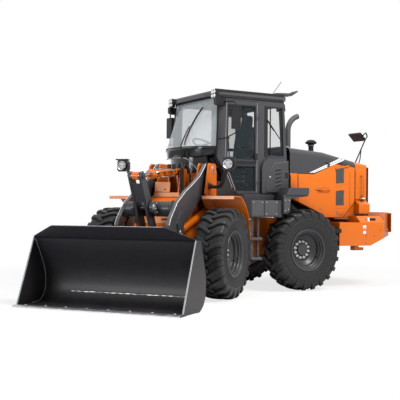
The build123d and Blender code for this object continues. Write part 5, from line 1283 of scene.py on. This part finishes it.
# Rubber hoses: two over the tower to the tilt cylinder's pin, two down the tower's front, and on
# each side a loop behind the frame's plate to the lift cylinder.
lines = []
for lane, top in ((-0.050, 1.975), (0.045, 1.995)):
    lines += hose([(0.700, lane * 2.0, 1.545), (0.735, lane * 2.0, 1.84), (0.780, lane, top - 0.02),
                   (0.850, lane, top - 0.045), (0.932, lane, 1.838)], 0.013, 0.06)
for lane, top, low in ((0.122, 1.945, 1.50), (0.154, 1.925, 1.49)):
    lines += hose([(0.990, lane, 1.860), (1.010, lane, top), (1.115, lane, top - 0.03),
                   (1.132, lane + 0.005, 1.62), (1.118, lane, low)], 0.014, 0.06)
for hand in (1, -1):
    lines += hose([(0.640, hand * 0.380, 1.700), (0.560, hand * 0.400, 1.690),
                   (0.520, hand * 0.450, 1.420), (0.560, hand * 0.450, 1.180),
                   (0.640, hand * 0.440, 1.220)], 0.020, 0.10)
piece("frame_hoses", lines, seal_paint, "front_frame", True, crease=60.0)
port = [block((1.165, hand * 0.035 - 0.022, 1.845), (1.215, hand * 0.035 + 0.022, 1.915))
        for hand in (1, -1)]
piece("tilt_ports", port, seal_paint, "tilt_barrel", True, bevel=0.004)

# Tilt cylinder: three bright steel pipes held along its barrel by painted clamps, and the gland
# screwed into its mouth.
barrel_way = np.array((0.99633, 0.0, -0.08562))
barrel_at = np.array((1.010, 0.0, 1.810))
barrel_radius = 0.0585
pipes = []
for across_pipe, rise, start, end in ((0.072, 0.030, 0.16, 0.80), (0.064, -0.045, 0.20, 0.62),
                                      (-0.060, 0.055, 0.14, 0.78)):
    lift = np.array((-barrel_way[2] * rise, across_pipe, barrel_way[0] * rise))
    pipes.append(bar(bent([barrel_at + barrel_way * along + lift * off
                           for along, off in ((start, 0.7), (start + 0.03, 1.1),
                                              (end - 0.03, 1.1), (end, 0.75))], 0.03), 0.010, 10))
clips = []
for along in (0.30, 0.52, 0.72):
    clips.append(turned([(barrel_radius, -0.014), (0.064, -0.014), (0.064, 0.014),
                         (barrel_radius, 0.014)],
                        barrel_at + barrel_way * along, barrel_way, 32, ring=True))
    x, z = barrel_at[0] + along, barrel_at[2] - along * 0.086
    clips.append(block((x - 0.016, 0.050, z), (x + 0.016, 0.092, z + 0.052)))
piece("tilt_pipes", pipes, steel, "tilt_barrel", True, crease=60.0)
piece("tilt_clips", clips, orange, "tilt_barrel", True, bevel=0.002)
gland = [turned([(barrel_radius, 0.0), (0.066, 0.004), (0.067, 0.050), (0.060, 0.058),
                 (barrel_radius, 0.058)], barrel_at + barrel_way * 0.840, barrel_way, 28, ring=True)]
piece("tilt_gland", gland, orange, "tilt_barrel", True, crease=40.0)

# ---- bucket --------------------------------------------------------------------------------------
# A welded shell in dark enamel: its inside is one plate rolled from the floor to the foot of the
# spill guard, with a bolted cutting edge polished by use, side cutters with light grey edges, and
# a bright thin line where the floor meets the rolled back.
bucket_half = 1.170
polished = plain("polished_edge", (0.46, 0.46, 0.48), 0.38, metal=1.0, tone=0.3, scale=14.0)
sweep = np.array([(3.000, 0.0172), (2.920, 0.0185), (2.850, 0.0260), (2.785, 0.0500),
                  (2.733, 0.0950), (2.700, 0.1550), (2.684, 0.2300), (2.682, 0.3100),
                  (2.692, 0.3900), (2.716, 0.4700), (2.752, 0.5500), (2.798, 0.6300),
                  (2.850, 0.7150), (2.900, 0.7950), (2.938, 0.8600)])
order = np.arange(len(sweep))
steps = np.linspace(0, len(sweep) - 1, 43)
sweep = np.stack([np.interp(steps, order, sweep[:, k]) for k in (0, 1)], -1)
for _ in range(3):
    sweep[1:-1] = 0.25 * sweep[:-2] + 0.5 * sweep[1:-1] + 0.25 * sweep[2:]
normal = np.gradient(sweep, axis=0)
normal = np.stack((-normal[:, 1], normal[:, 0]), -1) / np.linalg.norm(normal, axis=1)[:, None]
liner_back = sweep - 0.003 * normal * np.sign(normal[:, :1] + 1e-9)
liner_plate = prism(np.concatenate((sweep, liner_back[::-1])), 1, 0.017 - bucket_half,
                    bucket_half - 0.017)
piece("bucket_liner", [liner_plate], bucket_paint, "bucket", True, crease=50.0)

# Weld beads along both cheeks, under the spill guard and along its top.
welds = [bar([(x + 0.003, hand * (bucket_half - 0.019), z + 0.001) for x, z in sweep.tolist()],
             0.0035, 6) for hand in (1, -1)]
welds.append(bar([(2.9520, 1.153, 0.884), (2.9520, -1.153, 0.884)], 0.0035, 6))
welds.append(bar([(3.0935, 0.783, 1.0375), (3.0935, -0.783, 1.0375)], 0.0040, 6))
piece("bucket_welds", welds, light_grey_and_highlight, "bucket", True)

# Cutting edge with its bolts, and the side cutters.
lip = [prism(((3.4185, 0.0015), (3.4185, 0.0095), (3.391, 0.0268), (3.330, 0.0272),
              (3.330, 0.0240), (3.388, 0.0240), (3.4150, 0.0080), (3.4150, 0.0015)), 1,
             -bucket_half + 0.001, bucket_half - 0.001)]
for y in np.linspace(-1.05, 1.05, 8).tolist():
    lip.append(turned([(0.002, 0.0), (0.020, 0.0), (0.018, 0.005), (0.002, 0.006)],
                      (3.285, y, 0.0245), (0, 0, 1), 16))
piece("bucket_wear_edges", lip, polished, "bucket", True, bevel=0.001)
cutters = [prism(((2.950, 0.872), (2.958, 0.880), (3.318, 0.046), (3.318, 0.030), (3.306, 0.026)),
                 1, hand * (bucket_half - 0.0145), hand * (bucket_half + 0.0008))
           for hand in (1, -1)]
piece("bucket_side_edges", cutters, light_grey_and_highlight, "bucket", True, bevel=0.001)

# The bright line wavers in height and width, and ends in points.
bright_line_y = np.linspace(0.98, -0.74, 87)
bright_line_z = 0.1655 - 0.0016 * np.sin(bright_line_y * 9.0) * np.cos(bright_line_y * 23.0)
bright_line_x = np.interp(bright_line_z, sweep[:, 1], sweep[:, 0])
bright_line_least = 0.0006
bright_line_half = np.maximum(bright_line_least, 0.0022 + 0.0030 * np.sin(bright_line_y * 17.0)
                        * np.sin(bright_line_y * 5.0) + 0.0022 * np.cos(bright_line_y * 61.0))
bright_line_half[[0, -1]] = bright_line_least
bright_line_rows = [np.stack((bright_line_x + out, bright_line_y, bright_line_z + up * bright_line_half), -1)
              for out, up in ((-0.002, -1), (0.0022, -1), (0.0022, 1), (-0.002, 1))]
piece("bucket_bright_line", [net(np.stack(bright_line_rows, axis=1))], polished, "bucket", True)

# The tilt rod's eye keeps its orange paint.
eye_band = [turned([(0.0502, -0.054), (0.0545, -0.052), (0.0545, 0.052), (0.0502, 0.054)],
                   (2.290, 0.0, 1.700), (0, 1, 0), 36, ring=True)]
piece("tilt_eye_band", eye_band, orange, "tilt_rod", True, crease=40.0)
